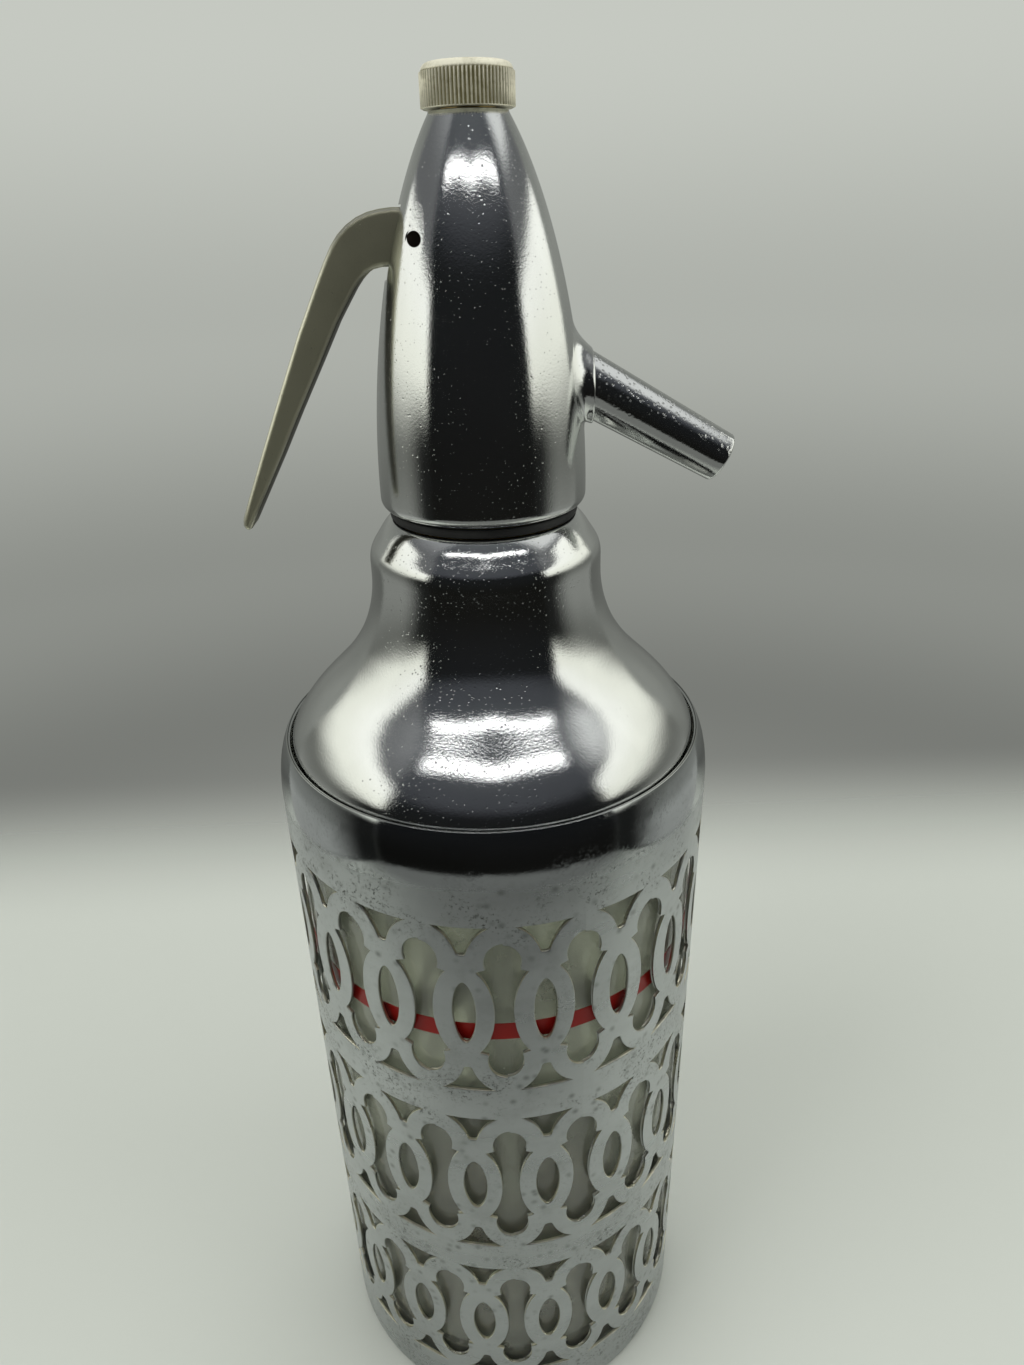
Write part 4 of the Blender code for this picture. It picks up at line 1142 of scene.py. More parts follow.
@dataclass
class Jacket:
    """Pierced sheet rolled round the bottle, with an inward lip on top."""

    radius: float = 54.0 * MM
    flare: float = 0.6 * MM
    sheet: float = 0.9 * MM
    rounding: float = 0.26 * MM
    bead: float = 0.45 * MM
    foot: float = 1.2 * MM
    straight: float = 200.0 * MM
    lip_height: float = 13.5 * MM
    lip_in: float = 2.8 * MM
    lip_turn: float = 60.0
    motifs: int = 18
    turn: float = 9.6
    rows: tuple[float, ...] = (41.9 * MM, 103.2 * MM, 164.5 * MM)
    half_row: float = 25.4 * MM
    lenses: tuple[Point, ...] = mm((3.05, 9.1), (3.0, 9.15), (2.65, 9.4))
    lens_steps: int = 16
    lens_fullness: float = 0.6
    lobe: Point = (4.35 * MM, 5.6 * MM)
    lobe_height: float = 15.3 * MM
    lobe_span: Point = (90.0, -20.0)
    barb: Point = (6.05 * MM, 12.65 * MM)
    ring: Point = (7.1 * MM, 14.2 * MM)
    waist_half: float = 12.3 * MM
    waist_steps: int = 14
    hood: Point = (8.94 * MM, 12.3 * MM)
    hood_height: float = 14.0 * MM
    spandrel_depth: float = 7.4 * MM
    spandrel_steps: int = 9
    blunt_drop: float = 0.35 * MM
    blunt: tuple[Point, ...] = ((0.75, 0.12 * MM), (0.35, 0.0))
    overlap: float = 1.55
    columns: int = 6
    lip_rows: int = 7

    def lens_outline(self, middle: float, size: Point) -> list[Point]:
        """Draw an upright oval with slightly pointed ends.

        Args:
            middle: its height.
            size: half its width and half its height.

        Returns:
            The outline.
        """
        wide, tall = size
        right = []
        for i in range(self.lens_steps + 1):
            z = math.sin(math.radians(90 - 180 * i / self.lens_steps))
            right.append((wide * (1 - z * z)**self.lens_fullness, middle + tall * z))
        return right + mirrored(right[1:-1])

    def loop_outline(self, centre: float, middle: float, pitch: float) -> list[Point]:
        """Draw a tall waisted opening with round lobes and a sharp barb under each.

        Args:
            centre: its place across.
            middle: its height.
            pitch: distance between two motifs.

        Returns:
            The outline.
        """
        upper = arc((0, self.lobe_height), self.lobe, *self.lobe_span, 12) + [self.barb]
        wide, tall = self.ring
        waist = []
        for i in range(self.waist_steps + 1):
            z = self.waist_half * math.cos(math.pi * i / self.waist_steps)
            waist.append((pitch / 2 - wide * math.sqrt(1 - (z / tall)**2), z))
        right = upper + waist + [(x, -z) for x, z in reversed(upper)]
        return [(centre + x, middle + z) for x, z in right + mirrored(right[1:-1])]

    def spandrel_outline(self, middle: float, side: int, pitch: float) -> list[Point]:
        """Draw a three-cornered opening, flat towards the plain band and hollow on its sides.

        Args:
            middle: the row's height.
            side: 1 above the row's middle, -1 below it.
            pitch: distance between two motifs.

        Returns:
            The outline.
        """
        wide, tall = self.hood
        points = []
        for i in range(self.spandrel_steps + 1):
            z = self.half_row - self.spandrel_depth * i / self.spandrel_steps
            x = pitch / 2 - wide * math.sqrt(1 - ((z - self.hood_height) / tall)**2)
            points.append((x, middle + side * z))
        narrow = points[-1][0]
        tip = middle + side * (self.half_row - self.spandrel_depth - self.blunt_drop)
        points += [(narrow * share, tip + side * rise) for share, rise in self.blunt]
        return points + mirrored(points)

    def profile(self, along: float) -> tuple[Vector, Vector]:
        """Find where the rolled sheet's outer side lies.

        Args:
            along: height on the flat sheet.

        Returns:
            The outer side's radius and height, and the direction outwards.
        """
        if along <= self.straight:
            share = (along - self.foot) / (self.straight - self.foot)
            return Vector((self.radius + self.flare * share, along)), Vector((1, 0))
        full = math.radians(self.lip_turn)
        turn = full * min((along - self.straight) / self.lip_height, 1)
        inwards = self.lip_in / (1 - math.cos(full))
        upwards = self.lip_height / math.sin(full)
        point = Vector((self.radius + self.flare - inwards * (1 - math.cos(turn)),
                        self.straight + upwards * math.sin(turn)))
        slope = Vector((upwards * math.cos(turn), inwards * math.sin(turn))).normalized()
        return point, slope

    def flat_motif(self) -> Piece:
        """Lay one motif of the sheet flat and trim it at both its borders.

        Returns:
            The motif, its cut edges marked.
        """
        edge = math.pi * self.radius / self.motifs
        reach = edge * self.overlap
        top = self.straight + self.lip_height
        outlines = [[(-reach, self.foot), (reach, self.foot), (reach, top), (-reach, top)]]
        for middle, lens in zip(self.rows, self.lenses):
            outlines.append(self.lens_outline(middle, lens))
            outlines += [self.loop_outline(side * edge, middle, 2 * edge) for side in (-1, 1)]
            outlines += [self.spandrel_outline(middle, side, 2 * edge) for side in (-1, 1)]
        item = flat_sheet("jacket_cover", outlines, self.sheet / 2, self.rounding, 1)
        activate(item)
        bpy.ops.object.mode_set(mode="EDIT")
        for side in (-1, 1):
            slice_mesh((side * edge, 0, 0), (side, 0, 0), clear=True)
        for i in range(1, self.columns):
            slice_mesh((edge * (2 * i / self.columns - 1), 0, 0), (1, 0, 0))
        for i in range(self.lip_rows):
            slice_mesh((0, self.straight + self.lip_height * i / self.lip_rows, 0), (0, 1, 0))
        bpy.ops.object.mode_set(mode="OBJECT")
        face = self.sheet / 2 - MERGE
        mark_edges(item, lambda co: 1.0 if abs(co.z) < face else 0.0)
        return item

    def wrap(self, item: Piece) -> None:
        """Roll the flat motif round the bottle, its middle just left of the front.

        Args:
            item: the flat motif.
        """
        for vertex in item.data.vertices:
            across, along, out = vertex.co
            point, slope = self.profile(along)
            point = point + slope * (out - self.sheet / 2)
            angle = across / self.radius - math.pi / 2 - math.radians(self.turn)
            vertex.co = (point.x * math.cos(angle), point.x * math.sin(angle), point.y)

    def build(self, material: Material, bead_material: Material) -> None:
        """Roll one motif and repeat it all round, then roll the lip's edge over.

        Args:
            material: the sheet's finish.
            bead_material: the finish of the rolled edge.
        """
        item = self.flat_motif()
        self.wrap(item)
        activate(item)
        for _ in range(self.motifs - 1):
            bpy.ops.object.duplicate(linked=False)
            bpy.ops.transform.rotate(value=2 * math.pi / self.motifs, orient_axis="Z",
                                     center_override=(0, 0, 0))
            bpy.ops.object.transform_apply(location=True, rotation=True, scale=True)
        for other in bpy.data.objects:
            if other.name.startswith("jacket_cover"):
                other.select_set(True)
        bpy.ops.object.join()
        item = bpy.context.object
        bpy.ops.object.mode_set(mode="EDIT")
        bpy.ops.mesh.select_all(action="SELECT")
        bpy.ops.mesh.remove_doubles(threshold=MERGE * 2)
        bpy.ops.mesh.normals_make_consistent(inside=False)
        bpy.ops.object.mode_set(mode="OBJECT")
        settle(item, "jacket_cover")
        bpy.ops.object.shade_smooth_by_angle(angle=math.radians(50))
        flatten = item.modifiers.new("flatten", "WEIGHTED_NORMAL")
        flatten.keep_sharp = True
        flatten.weight = 100
        bpy.ops.object.modifier_apply(modifier=flatten.name)
        place(item, "bottle", "plated_steel", material, "jacket")
        edge, slope = self.profile(self.straight + self.lip_height)
        middle = edge - slope * (self.sheet / 2) - Vector((0, self.bead))
        bead = turn_profile("jacket_bead", arc(tuple(middle), (self.bead, self.bead), 0, 345, 24),
                            WIDE_SIDES, ring=True)
        place(bead, "bottle", "plated_steel", bead_material)


@dataclass
class Bottle:
    """Thick glass bottle and the painted line that marks how far to fill it."""

    radius: float = 52.3 * MM
    wall: float = 4.8 * MM
    floor: float = 8.0 * MM
    foot: float = 6.9 * MM
    straight: float = 195.5 * MM
    neck: float = 238.5 * MM
    neck_radius: float = 13.5 * MM
    bore: float = 9.5 * MM
    bead: float = 256.5 * MM
    bead_radius: float = 16.3 * MM
    bead_height: float = 8.0 * MM
    mouth: float = 268.5 * MM
    heel: float = 9.0 * MM
    lip: float = 2.0 * MM
    floor_rise: Point = (1.6 * MM, 3.0 * MM)
    foot_rise: Point = (0.8 * MM, 2.5 * MM)
    line: Point = (154.2 * MM, 159.3 * MM)
    line_depth: Point = (0.02 * MM, 0.14 * MM)
    line_edge: float = 0.05 * MM

    def profile(self) -> list[Point]:
        """Draw the wall's section.

        Returns:
            Its points from the middle of the inner floor up, over and down outside.
        """
        inner = self.radius - self.wall
        half = (self.neck - self.straight) / 2
        floor = self.foot + self.floor
        heel = (self.heel, self.heel)
        lip = (self.lip, self.lip)
        inside = [(0, floor + self.floor_rise[1]), (inner * 0.5, floor + self.floor_rise[0])]
        inside += arc((inner - self.heel, floor + self.heel), heel, -90, 0, 7)
        inside += bezier((inner, self.straight), (inner, self.straight + half),
                         (self.bore, self.neck - half), (self.bore, self.neck), 18)
        mouth = arc(((self.bore + self.neck_radius) / 2, self.mouth - self.lip), lip, 180, 0, 7)
        top = self.bead + self.bead_height
        outside = [(self.neck_radius, top)]
        outside += arc((self.bead_radius - self.lip, top - self.lip), lip, 80, 0, 4)
        outside += [(self.bead_radius, self.bead), (self.neck_radius, self.bead)]
        outside += bezier((self.neck_radius, self.neck), (self.neck_radius, self.neck - half),
                          (self.radius, self.straight + half), (self.radius, self.straight), 18)
        outside += arc((self.radius - self.heel, self.foot + self.heel), heel, 0, -90, 7)
        outside += [(self.radius * 0.5, self.foot + self.foot_rise[0]),
                    (0, self.foot + self.foot_rise[1])]
        return inside + mouth + outside

    def build(self, glass: Material, paint: Material) -> None:
        """Turn the bottle and lay the line on it.

        Args:
            glass: finish of the bottle.
            paint: finish of the line.
        """
        bottle = turn_profile("bottle_glass", self.profile(), ROUND_SIDES)
        place(bottle, "bottle", "glass", glass, "glass_bottle")
        low, high = self.line
        inner, outer = (self.radius + depth for depth in self.line_depth)
        profile = [(inner, low), (outer, low + self.line_edge), (outer, high - self.line_edge),
                   (inner, high)]
        place(turn_profile("fill_line", profile, ROUND_SIDES, ring=True), "bottle", "rubber", paint)


@dataclass
class Shoulder:
    """Chromed bell over the bottle's shoulder, with a beaded neck."""

    inner: float = 20.6 * MM
    top: float = 266.5 * MM
    mouth: float = 0.6 * MM
    lip: tuple[Point, ...] = mm((21.7, 266.3), (23.6, 264.6), (24.2, 263.2), (25.3, 261.6))
    bead: tuple[Point, ...] = mm((25.6, 261.1), (26.7, 259.6), (27.1, 258.2), (27.0, 255.9))
    bell: tuple[Point, ...] = mm((27.0, 255.9), (27.12, 251.0), (27.8, 246.5), (28.96, 242.5),
                                 (30.41, 239.0), (32.11, 236.0), (34.18, 233.0), (36.69, 230.0),
                                 (39.62, 227.0), (42.65, 224.0), (45.45, 221.0), (47.65, 218.2),
                                 (49.25, 215.8), (50.25, 213.8), (50.55, 212.0), (50.6, 207.5))
    sheet: float = 0.9 * MM

    def outer_side(self) -> list[Point]:
        """Draw the bell's outer side.

        Returns:
            Its points from the top lip down to the skirt.
        """
        points = [(self.inner, self.top), (self.inner + self.mouth, self.top)]
        points += bezier(*self.lip, 9) + bezier(*self.bead, 9)[1:]
        return points + through(self.bell, 4)[1:]

    def build(self, chrome: Material) -> None:
        """Turn the bell with its wall.

        Args:
            chrome: its finish.
        """
        outer = self.outer_side()
        inner = offset_profile(outer[1:], -self.sheet)
        inner[0] = (self.inner, self.top - self.sheet)
        inner[-1] = (outer[-1][0] - self.sheet, outer[-1][1])
        bell = turn_profile("shoulder_bell", outer + inner[::-1], WIDE_SIDES, ring=True, smooth=50)
        place(bell, "bottle", "chrome", chrome, "shoulder_dome")


@dataclass
class Head:
    """Tall chromed casting with its bores, lever slot, pin holes and spout collar."""

    base: float = 269.0 * MM
    height: float = 76.7 * MM
    radius: float = 23.3 * MM
    top_radius: float = 8.0 * MM
    edge: float = 2.4 * MM
    sides: int = 160
    low_handle: Point = (0.2 * MM, 29.0 * MM)
    high_handle: Point = (9.1 * MM, 15.8 * MM)
    top_edge: float = 0.5 * MM
    top_round: Point = (0.15 * MM, 0.14 * MM)
    bores: tuple[Point, ...] = mm((5.9, 332.0), (7.0, 315.8), (4.95, 312.8), (9.3, 279.7),
                                  (20.6, 269.0))
    pivot: Vector = field(default_factory=lambda: Vector((-11.4, 0, 324.0)) * MM)
    pin_hole: Point = (1.42 * MM, 20.0 * MM)
    pin_bore: Point = (1.75 * MM, 10.3 * MM)
    facet: float = 0.16 * MM
    facet_block: float = 20.0 * MM
    facet_span: float = 4.0 * MM
    slot_half: float = 4.9 * MM
    slot_reach: float = 30.0 * MM
    slot: Point = (316.1 * MM, 330.0 * MM)
    crossing: float = 307.6 * MM
    droop: float = math.radians(29.4)
    collar_face: float = 24.6 * MM
    collar_rim: float = 7.05 * MM
    collar_lip: tuple[Point, ...] = mm((0.05, 0.25), (0.17, 0.07), (0.28, 0.0), (0.38, 0.05),
                                       (0.43, 0.2), (0.43, 3.0))
    collar_flare: tuple[Point, ...] = mm((-0.3, 1.5), (0.0, 0.5))
    collar_steps: int = 14
    root_out: float = 22.6 * MM
    root_across: float = 9.7 * MM
    root_reach: Point = (13.0 * MM, 10.4 * MM)
    root_proud: Point = (-0.12 * MM, 0.02 * MM)
    inner_spread: float = 0.78
    inner_proud: float = 0.03 * MM
    socket: float = 7.0 * MM
    socket_start: float = 15.2 * MM
    socket_length: float = 40.0 * MM

    def side(self, count: int) -> list[Point]:
        """Draw the casting's outer side.

        Args:
            count: number of points on its long curve.

        Returns:
            Its points from the bottom edge up to the top edge.
        """
        top = self.base + self.height
        low = self.base + self.edge
        corner = arc((self.radius - self.edge, low), (self.edge, self.edge), -90, 0, 9)
        curve = bezier((self.radius, low),
                       (self.radius + self.low_handle[0], low + self.low_handle[1]),
                       (self.top_radius + self.high_handle[0], top - self.high_handle[1]),
                       (self.top_radius, top - self.top_edge), count)
        rounded = (self.top_radius - self.top_round[0], top - self.top_round[1])
        return corner + curve[1:] + [rounded, (self.top_radius - self.top_edge, top)]

    def inside(self) -> list[Point]:
        """Draw the stepped bores.

        Returns:
            Their points from the top down to the bottom opening.
        """
        points = []
        level = self.base + self.height
        for radius, below in self.bores:
            points += [(radius, level), (radius, below)]
            level = below
        return points

    def radius_at(self, height: float) -> float:
        """Find the casting's outer radius.

        Args:
            height: where it is wanted.

        Returns:
            The radius.
        """
        points = self.side(60)
        for (r0, z0), (r1, z1) in zip(points, points[1:]):
            if z0 <= height <= z1 and z1 > z0:
                return r0 + (r1 - r0) * (height - z0) / (z1 - z0)
        return self.top_radius

    def on_side(self, across: float, height: float, proud: float = 0.0) -> Vector:
        """Find a point of the casting's +X side.

        Args:
            across: its place along Y.
            height: its height.
            proud: how far it stands off the surface.

        Returns:
            The point.
        """
        radius = self.radius_at(height) + proud
        return Vector((math.sqrt(max(radius**2 - across**2, 0)), across, height))

    def axis_height(self, x: float) -> float:
        """Height of the spout's axis at a distance in front of the bottle's axis."""
        return self.crossing - x * math.tan(self.droop)

    def collar_root(self, turn: float, spread: float, proud: float) -> Vector:
        """Find a point round the collar's root, on the casting's side.

        Args:
            turn: angle round the spout, from its top.
            spread: share of the root's full size.
            proud: how far it stands off the casting.

        Returns:
            The point.
        """
        up = math.cos(turn)
        across = math.sin(turn) * self.root_across * spread
        reach = self.root_reach[0 if up > 0 else 1] * spread
        return self.on_side(across, self.axis_height(self.root_out) + up * reach, proud)

    def collar_edge(self, turn: float, inset: float, back: float) -> Vector:
        """Find a point near the collar's rim.

        Args:
            turn: angle round the spout, from its top.
            inset: how far inside the rim it lies.
            back: how far behind the rim's face it lies.

        Returns:
            The point.
        """
        wide = self.collar_rim - inset
        rise = math.cos(turn) * wide / math.cos(self.droop) + back * math.tan(self.droop)
        return Vector((self.collar_face - back, math.sin(turn) * wide,
                       self.axis_height(self.collar_face) + rise))

    def collar_side(self, turn: float, share: float) -> Vector:
        """Find a point of the collar's hollow side, sunk a little where it starts.

        Args:
            turn: angle round the spout, from its top.
            share: 0 at the root, 1 at the rim.

        Returns:
            The point.
        """
        proud = self.root_proud[1 if share else 0]
        corners = [self.collar_root(turn, 1.0, proud),
                   self.collar_root(turn, self.inner_spread, self.inner_proud)]
        corners += [self.collar_edge(turn, inset, back) for inset, back in self.collar_flare]
        return sum((p * w for p, w in zip(corners, cubic_weights(share))), Vector())

    def collar(self) -> Piece:
        """Raise the collar round the spout's root, flowing into the casting's side.

        Returns:
            The collar, open at its buried back.
        """
        turns = [2 * math.pi * i / ROUND_SIDES for i in range(ROUND_SIDES)]
        rings = [[self.collar_side(turn, i / self.collar_steps) for turn in turns]
                 for i in range(self.collar_steps + 1)]
        rings += [[self.collar_edge(turn, inset, back) for turn in turns]
                  for inset, back in self.collar_lip]
        deselect()
        bpy.ops.mesh.primitive_circle_add(vertices=ROUND_SIDES, radius=self.socket,
                                          fill_type="NOTHING")
        item = settle(bpy.context.object, "spout_collar")
        bpy.ops.object.mode_set(mode="EDIT")
        bpy.ops.mesh.select_all(action="SELECT")
        for _ in rings[1:]:
            bpy.ops.mesh.extrude_edges_move(TRANSFORM_OT_translate={"value": (0, 0, MM)})
        bpy.ops.object.mode_set(mode="OBJECT")
        for index, vertex in enumerate(item.data.vertices):
            ring, step = divmod(index, ROUND_SIDES)
            vertex.co = rings[ring][step]
        return item

    def build(self, chrome: Material) -> None:
        """Turn the casting, cut it and set the collar on it.

        Args:
            chrome: its finish.
        """
        head = turn_profile("head_casting", self.side(90) + self.inside(), self.sides, ring=True,
                            smooth=40)
        low, high = self.slot
        cut_away(head, slab("slot", Vector((-self.slot_reach, -self.slot_half, low)),
                            Vector((0, self.slot_half, high))))
        across = Vector((0, 1, 0))
        for radius, half in (self.pin_hole, self.pin_bore):
            cut_away(head, rod("pin_way", radius, self.pivot - across * half, across, 2 * half))
        for side in Side:
            cut_away(head, self.flat_cutter(side))
        direction = Vector((math.cos(self.droop), 0, -math.sin(self.droop)))
        start = Vector((0, 0, self.crossing)) + direction * self.socket_start
        cut_away(head, rod("socket", self.socket, start, direction, self.socket_length))
        collar = self.collar()
        activate(head)
        collar.select_set(True)
        bpy.ops.object.join()
        head = settle(head, "head_casting")
        bpy.ops.object.shade_smooth_by_angle(angle=math.radians(38))
        place(head, "head", "chrome", chrome, "head_housing")

    def flat_cutter(self, side: Side) -> Piece:
        """Make a block whose face planes a shallow facet round a pin hole.

        Args:
            side: the hole's side.

        Returns:
            The block, its place in its mesh.
        """
        height = self.pivot.z
        span = self.facet_span
        radius = self.radius_at(height)
        facing = math.atan2(side.value * math.sqrt(radius**2 - self.pivot.x**2), self.pivot.x)
        slope = (self.radius_at(height + span) - self.radius_at(height - span)) / (2 * span)
        outwards = Vector((math.cos(facing), math.sin(facing), -slope)).normalized()
        on_surface = Vector((radius * math.cos(facing), radius * math.sin(facing), height))
        middle = on_surface + outwards * (self.facet_block / 2 - self.facet)
        deselect()
        bpy.ops.mesh.primitive_cube_add(size=self.facet_block, location=middle,
                                        rotation=outwards.to_track_quat("Z", "Y").to_euler())
        return settle(bpy.context.object, "facet")


@dataclass
class Spout:
    """Tapered tube with a rounded rim."""

    start: float = 15.5 * MM
    reach: float = 62.18 * MM
    root: float = 6.7 * MM
    end: float = 5.6 * MM
    bore: float = 4.1 * MM
    edge: float = 0.55 * MM
    mouth: float = 0.9 * MM
    steps: int = 24

    def build(self, head: Head, chrome: Material) -> None:
        """Turn the tube upright, then tip it into its collar.

        Args:
            head: the casting that carries it.
            chrome: its finish.
        """
        length = self.reach - self.start
        straight = length - self.edge
        rim = arc((self.end - self.edge, straight), (self.edge, self.edge), 0, 150, 9)
        outer = [(self.root + (self.end - self.root) * i / self.steps, straight * i / self.steps)
                 for i in range(self.steps)]
        profile = outer + rim + [(self.bore, length - self.mouth), (self.bore, 0)]
        tube = turn_profile("spout_pipe", profile, ROUND_SIDES, ring=True, smooth=50)
        activate(tube)
        tube.rotation_euler = (0, math.pi / 2 + head.droop, 0)
        tube.location = (self.start * math.cos(head.droop), 0,
                         head.crossing - self.start * math.sin(head.droop))
        settle(tube, "spout_pipe")
        place(tube, "head", "chrome", chrome, "spout_tube")


@dataclass
class Lever:
    """Cast lever: bent root, long thinning handle and a forked arm inside the head."""

    half: float = 4.5 * MM
    rounding: float = 1.1 * MM
    worn: float = 0.5 * MM
    back: tuple[Point, ...] = mm((-2.0, 5.5), (-4.6, 5.58), (-7.0, 5.35), (-9.4, 4.85),
                                 (-11.7, 3.95), (-13.8, 2.65), (-15.7, 0.95), (-17.25, -1.1),
                                 (-18.95, -4.0), (-20.75, -7.4), (-25.7, -17.3),
                                 (-31.05, -29.1), (-36.85, -42.1), (-41.15, -52.0),
                                 (-42.95, -56.3))
    tip: tuple[Point, ...] = mm((-43.15, -57.7), (-42.8, -58.5), (-42.1, -58.9), (-41.3, -58.5))
    inside: tuple[Point, ...] = mm((-38.4, -53.4), (-32.5, -43.0), (-27.6, -34.0),
                                   (-21.9, -23.9), (-17.3, -15.6), (-14.95, -12.0),
                                   (-13.15, -9.3), (-11.8, -7.6), (-10.4, -6.3), (-8.9, -5.5),
                                   (-7.2, -5.15), (-4.0, -5.1), (0.0, -5.1))
    arm: tuple[Point, ...] = mm((12.9, -2.4), (12.9, 0.9), (12.6, 1.2), (2.6, 1.2))
    hole: Point = (1.8 * MM, 10.0 * MM)
    fork_low: Vector = field(default_factory=lambda: Vector((-3.4, -3.0, -12.0)) * MM)
    fork_high: Vector = field(default_factory=lambda: Vector((4.0, 3.0, 12.0)) * MM)

    def build(self, head: Head, alloy: Material) -> None:
        """Draw the lever's outline, round its edges and cut its fork and hole.

        Args:
            head: the casting that carries it.
            alloy: its finish.
        """
        outline = self.back + self.tip + self.inside + self.arm
        item = flat_sheet("lever_handle", [outline], self.half, self.rounding, 3)
        face = self.half - self.rounding * 0.1
        mark_edges(item, lambda co: 1.0 if face - self.worn < abs(co.z) < face else 0.0)
        item.rotation_euler = (math.pi / 2, 0, 0)
        item.location = head.pivot
        settle(item, "lever_handle")
        across = Vector((0, 1, 0))
        radius, half = self.hole
        cut_away(item, rod("hole", radius, head.pivot - across * half, across, 2 * half, 32))
        level = Vector((0, 0, head.pivot.z))
        cut_away(item, slab("fork", level + self.fork_low, level + self.fork_high))
        activate(item)
        bpy.ops.object.shade_smooth_by_angle(angle=math.radians(40))
        place(item, "lever", "cast_aluminium", alloy, "lever")


@dataclass
class Cap:
    """Knurled cap with a rounded top edge, brightened as a painted highlight."""

    radius: float = 8.85 * MM
    ridge: float = 0.34 * MM
    bevel: float = 1.35 * MM
    low: float = 346.0 * MM
    roof: float = 352.0 * MM
    top: float = 353.5 * MM
    inner: float = 5.9 * MM
    ridges: int = 72
    chamfer: Point = (0.1 * MM, 0.08 * MM)
    knurl: tuple[float, float, float] = (0.16 * MM, 0.18 * MM, 0.2 * MM)
    crown: Point = (3.5 * MM, 0.06 * MM)
    hollow: float = 0.1 * MM

    def levels(self) -> tuple[float, float, float, float]:
        """Work out the knurl's heights.

        Returns:
            Where it starts, is full, begins to run out and ends.
        """
        first, full, out = self.knurl
        end = self.top - self.bevel
        return self.low + first, self.low + full, end - out, end

    def column(self, co: Vector) -> int | None:
        """Find which of a ridge's four columns a vertex of the knurl stands in.

        Args:
            co: the vertex's place.

        Returns:
            0 for the ridge, 2 for the valley, None away from the knurl.
        """
        _, full, out, _ = self.levels()
        if not full - MERGE < co.z < out + MERGE or abs(co.xy.length - self.radius) >= MERGE:
            return None
        step = math.pi / (2 * self.ridges)
        return round(math.atan2(co.y, co.x) / step) % 4

    def height_share(self, co: Vector) -> float:
        """Say how far a vertex counts as a ridge, with more for the top edge that is brightened as
        a painted highlight.

        Args:
            co: the vertex's place.

        Returns:
            0 in a valley, 1 on a ridge or the foot, 1.3 on top.
        """
        start, _, _, end = self.levels()
        if co.z > end:
            return 1.3
        if co.z < start:
            return 1.0
        return min(max((co.xy.length - self.radius + self.ridge * 0.4) / self.ridge, 0), 1)

    def build(self, alloy: Material) -> None:
        """Turn the cap, then draw its ridges out and its valleys in.

        Args:
            alloy: its finish.
        """
        r = self.radius
        profile = [(0, self.roof), (self.inner, self.roof), (self.inner, self.low),
                   (r - self.chamfer[0], self.low), (r, self.low + self.chamfer[1])]
        profile += [(r, z) for z in self.levels()]
        profile += arc((r - self.bevel, self.top - self.bevel), (self.bevel, self.bevel), 12, 90, 7)
        profile += [(r - self.crown[0], self.top - self.crown[1]), (0, self.top - self.hollow)]
        cap = turn_profile("filling_cap", profile, 4 * self.ridges, smooth=24)
        activate(cap)
        bpy.ops.object.mode_set(mode="EDIT")
        for column, change in ((0, self.ridge), (2, -0.5 * self.ridge)):
            select_where(cap, lambda co, wanted=column: self.column(co) == wanted)
            share = (r + change) / r
            bpy.ops.transform.resize(value=(share, share, 1), center_override=(0, 0, 0))
        bpy.ops.object.mode_set(mode="OBJECT")
        mark_edges(cap, self.height_share)
        place(cap, "cap", "aluminium", alloy, "knurled_cap")


@dataclass
class SealRing:
    """Dark rubber ring that shows between shoulder and head."""

    inner: float = 20.6 * MM
    outer: float = 21.5 * MM
    low: float = 266.8 * MM
    high: float = 268.7 * MM
    rounding: float = 0.45 * MM
    sides: int = 120

    def build(self, rubber: Material) -> None:
        """Turn the ring with rounded edges.

        Args:
            rubber: its finish.
        """
        middle = (self.outer - self.rounding, (self.low + self.high) / 2)
        bulge = arc(middle, (self.rounding, (self.high - self.low) / 2), -90, 90, 9)
        profile = [(self.inner, self.low)] + bulge + [(self.inner, self.high)]
        ring = turn_profile("head_ring", profile, self.sides, ring=True)
        place(ring, "head_lift", "rubber", rubber, "head_seal_ring")


@dataclass(frozen=True)
class Lamp:
    """A flat lamp that looks at the siphon."""

    name: str
    place: tuple[float, float, float]
    size: Point
    watts: float
    mirrored: bool = False
    aim: tuple[float, float, float] = (0, 0, 0.2)

    def hang(self) -> None:
        """Add the lamp at its place, turned to the point that it aims at."""
        data = bpy.data.lights.new(self.name, "AREA")
        data.shape = "RECTANGLE"
        data.size, data.size_y = self.size
        data.energy = self.watts
        item = bpy.data.objects.new(self.name, data)
        item.location = self.place
        item.visible_glossy = self.mirrored
        way = Vector(self.aim) - Vector(self.place)
        item.rotation_euler = way.to_track_quat("-Z", "Y").to_euler()
        bpy.context.scene.collection.objects.link(item)


Stops = tuple[tuple[float, Colour], ...]


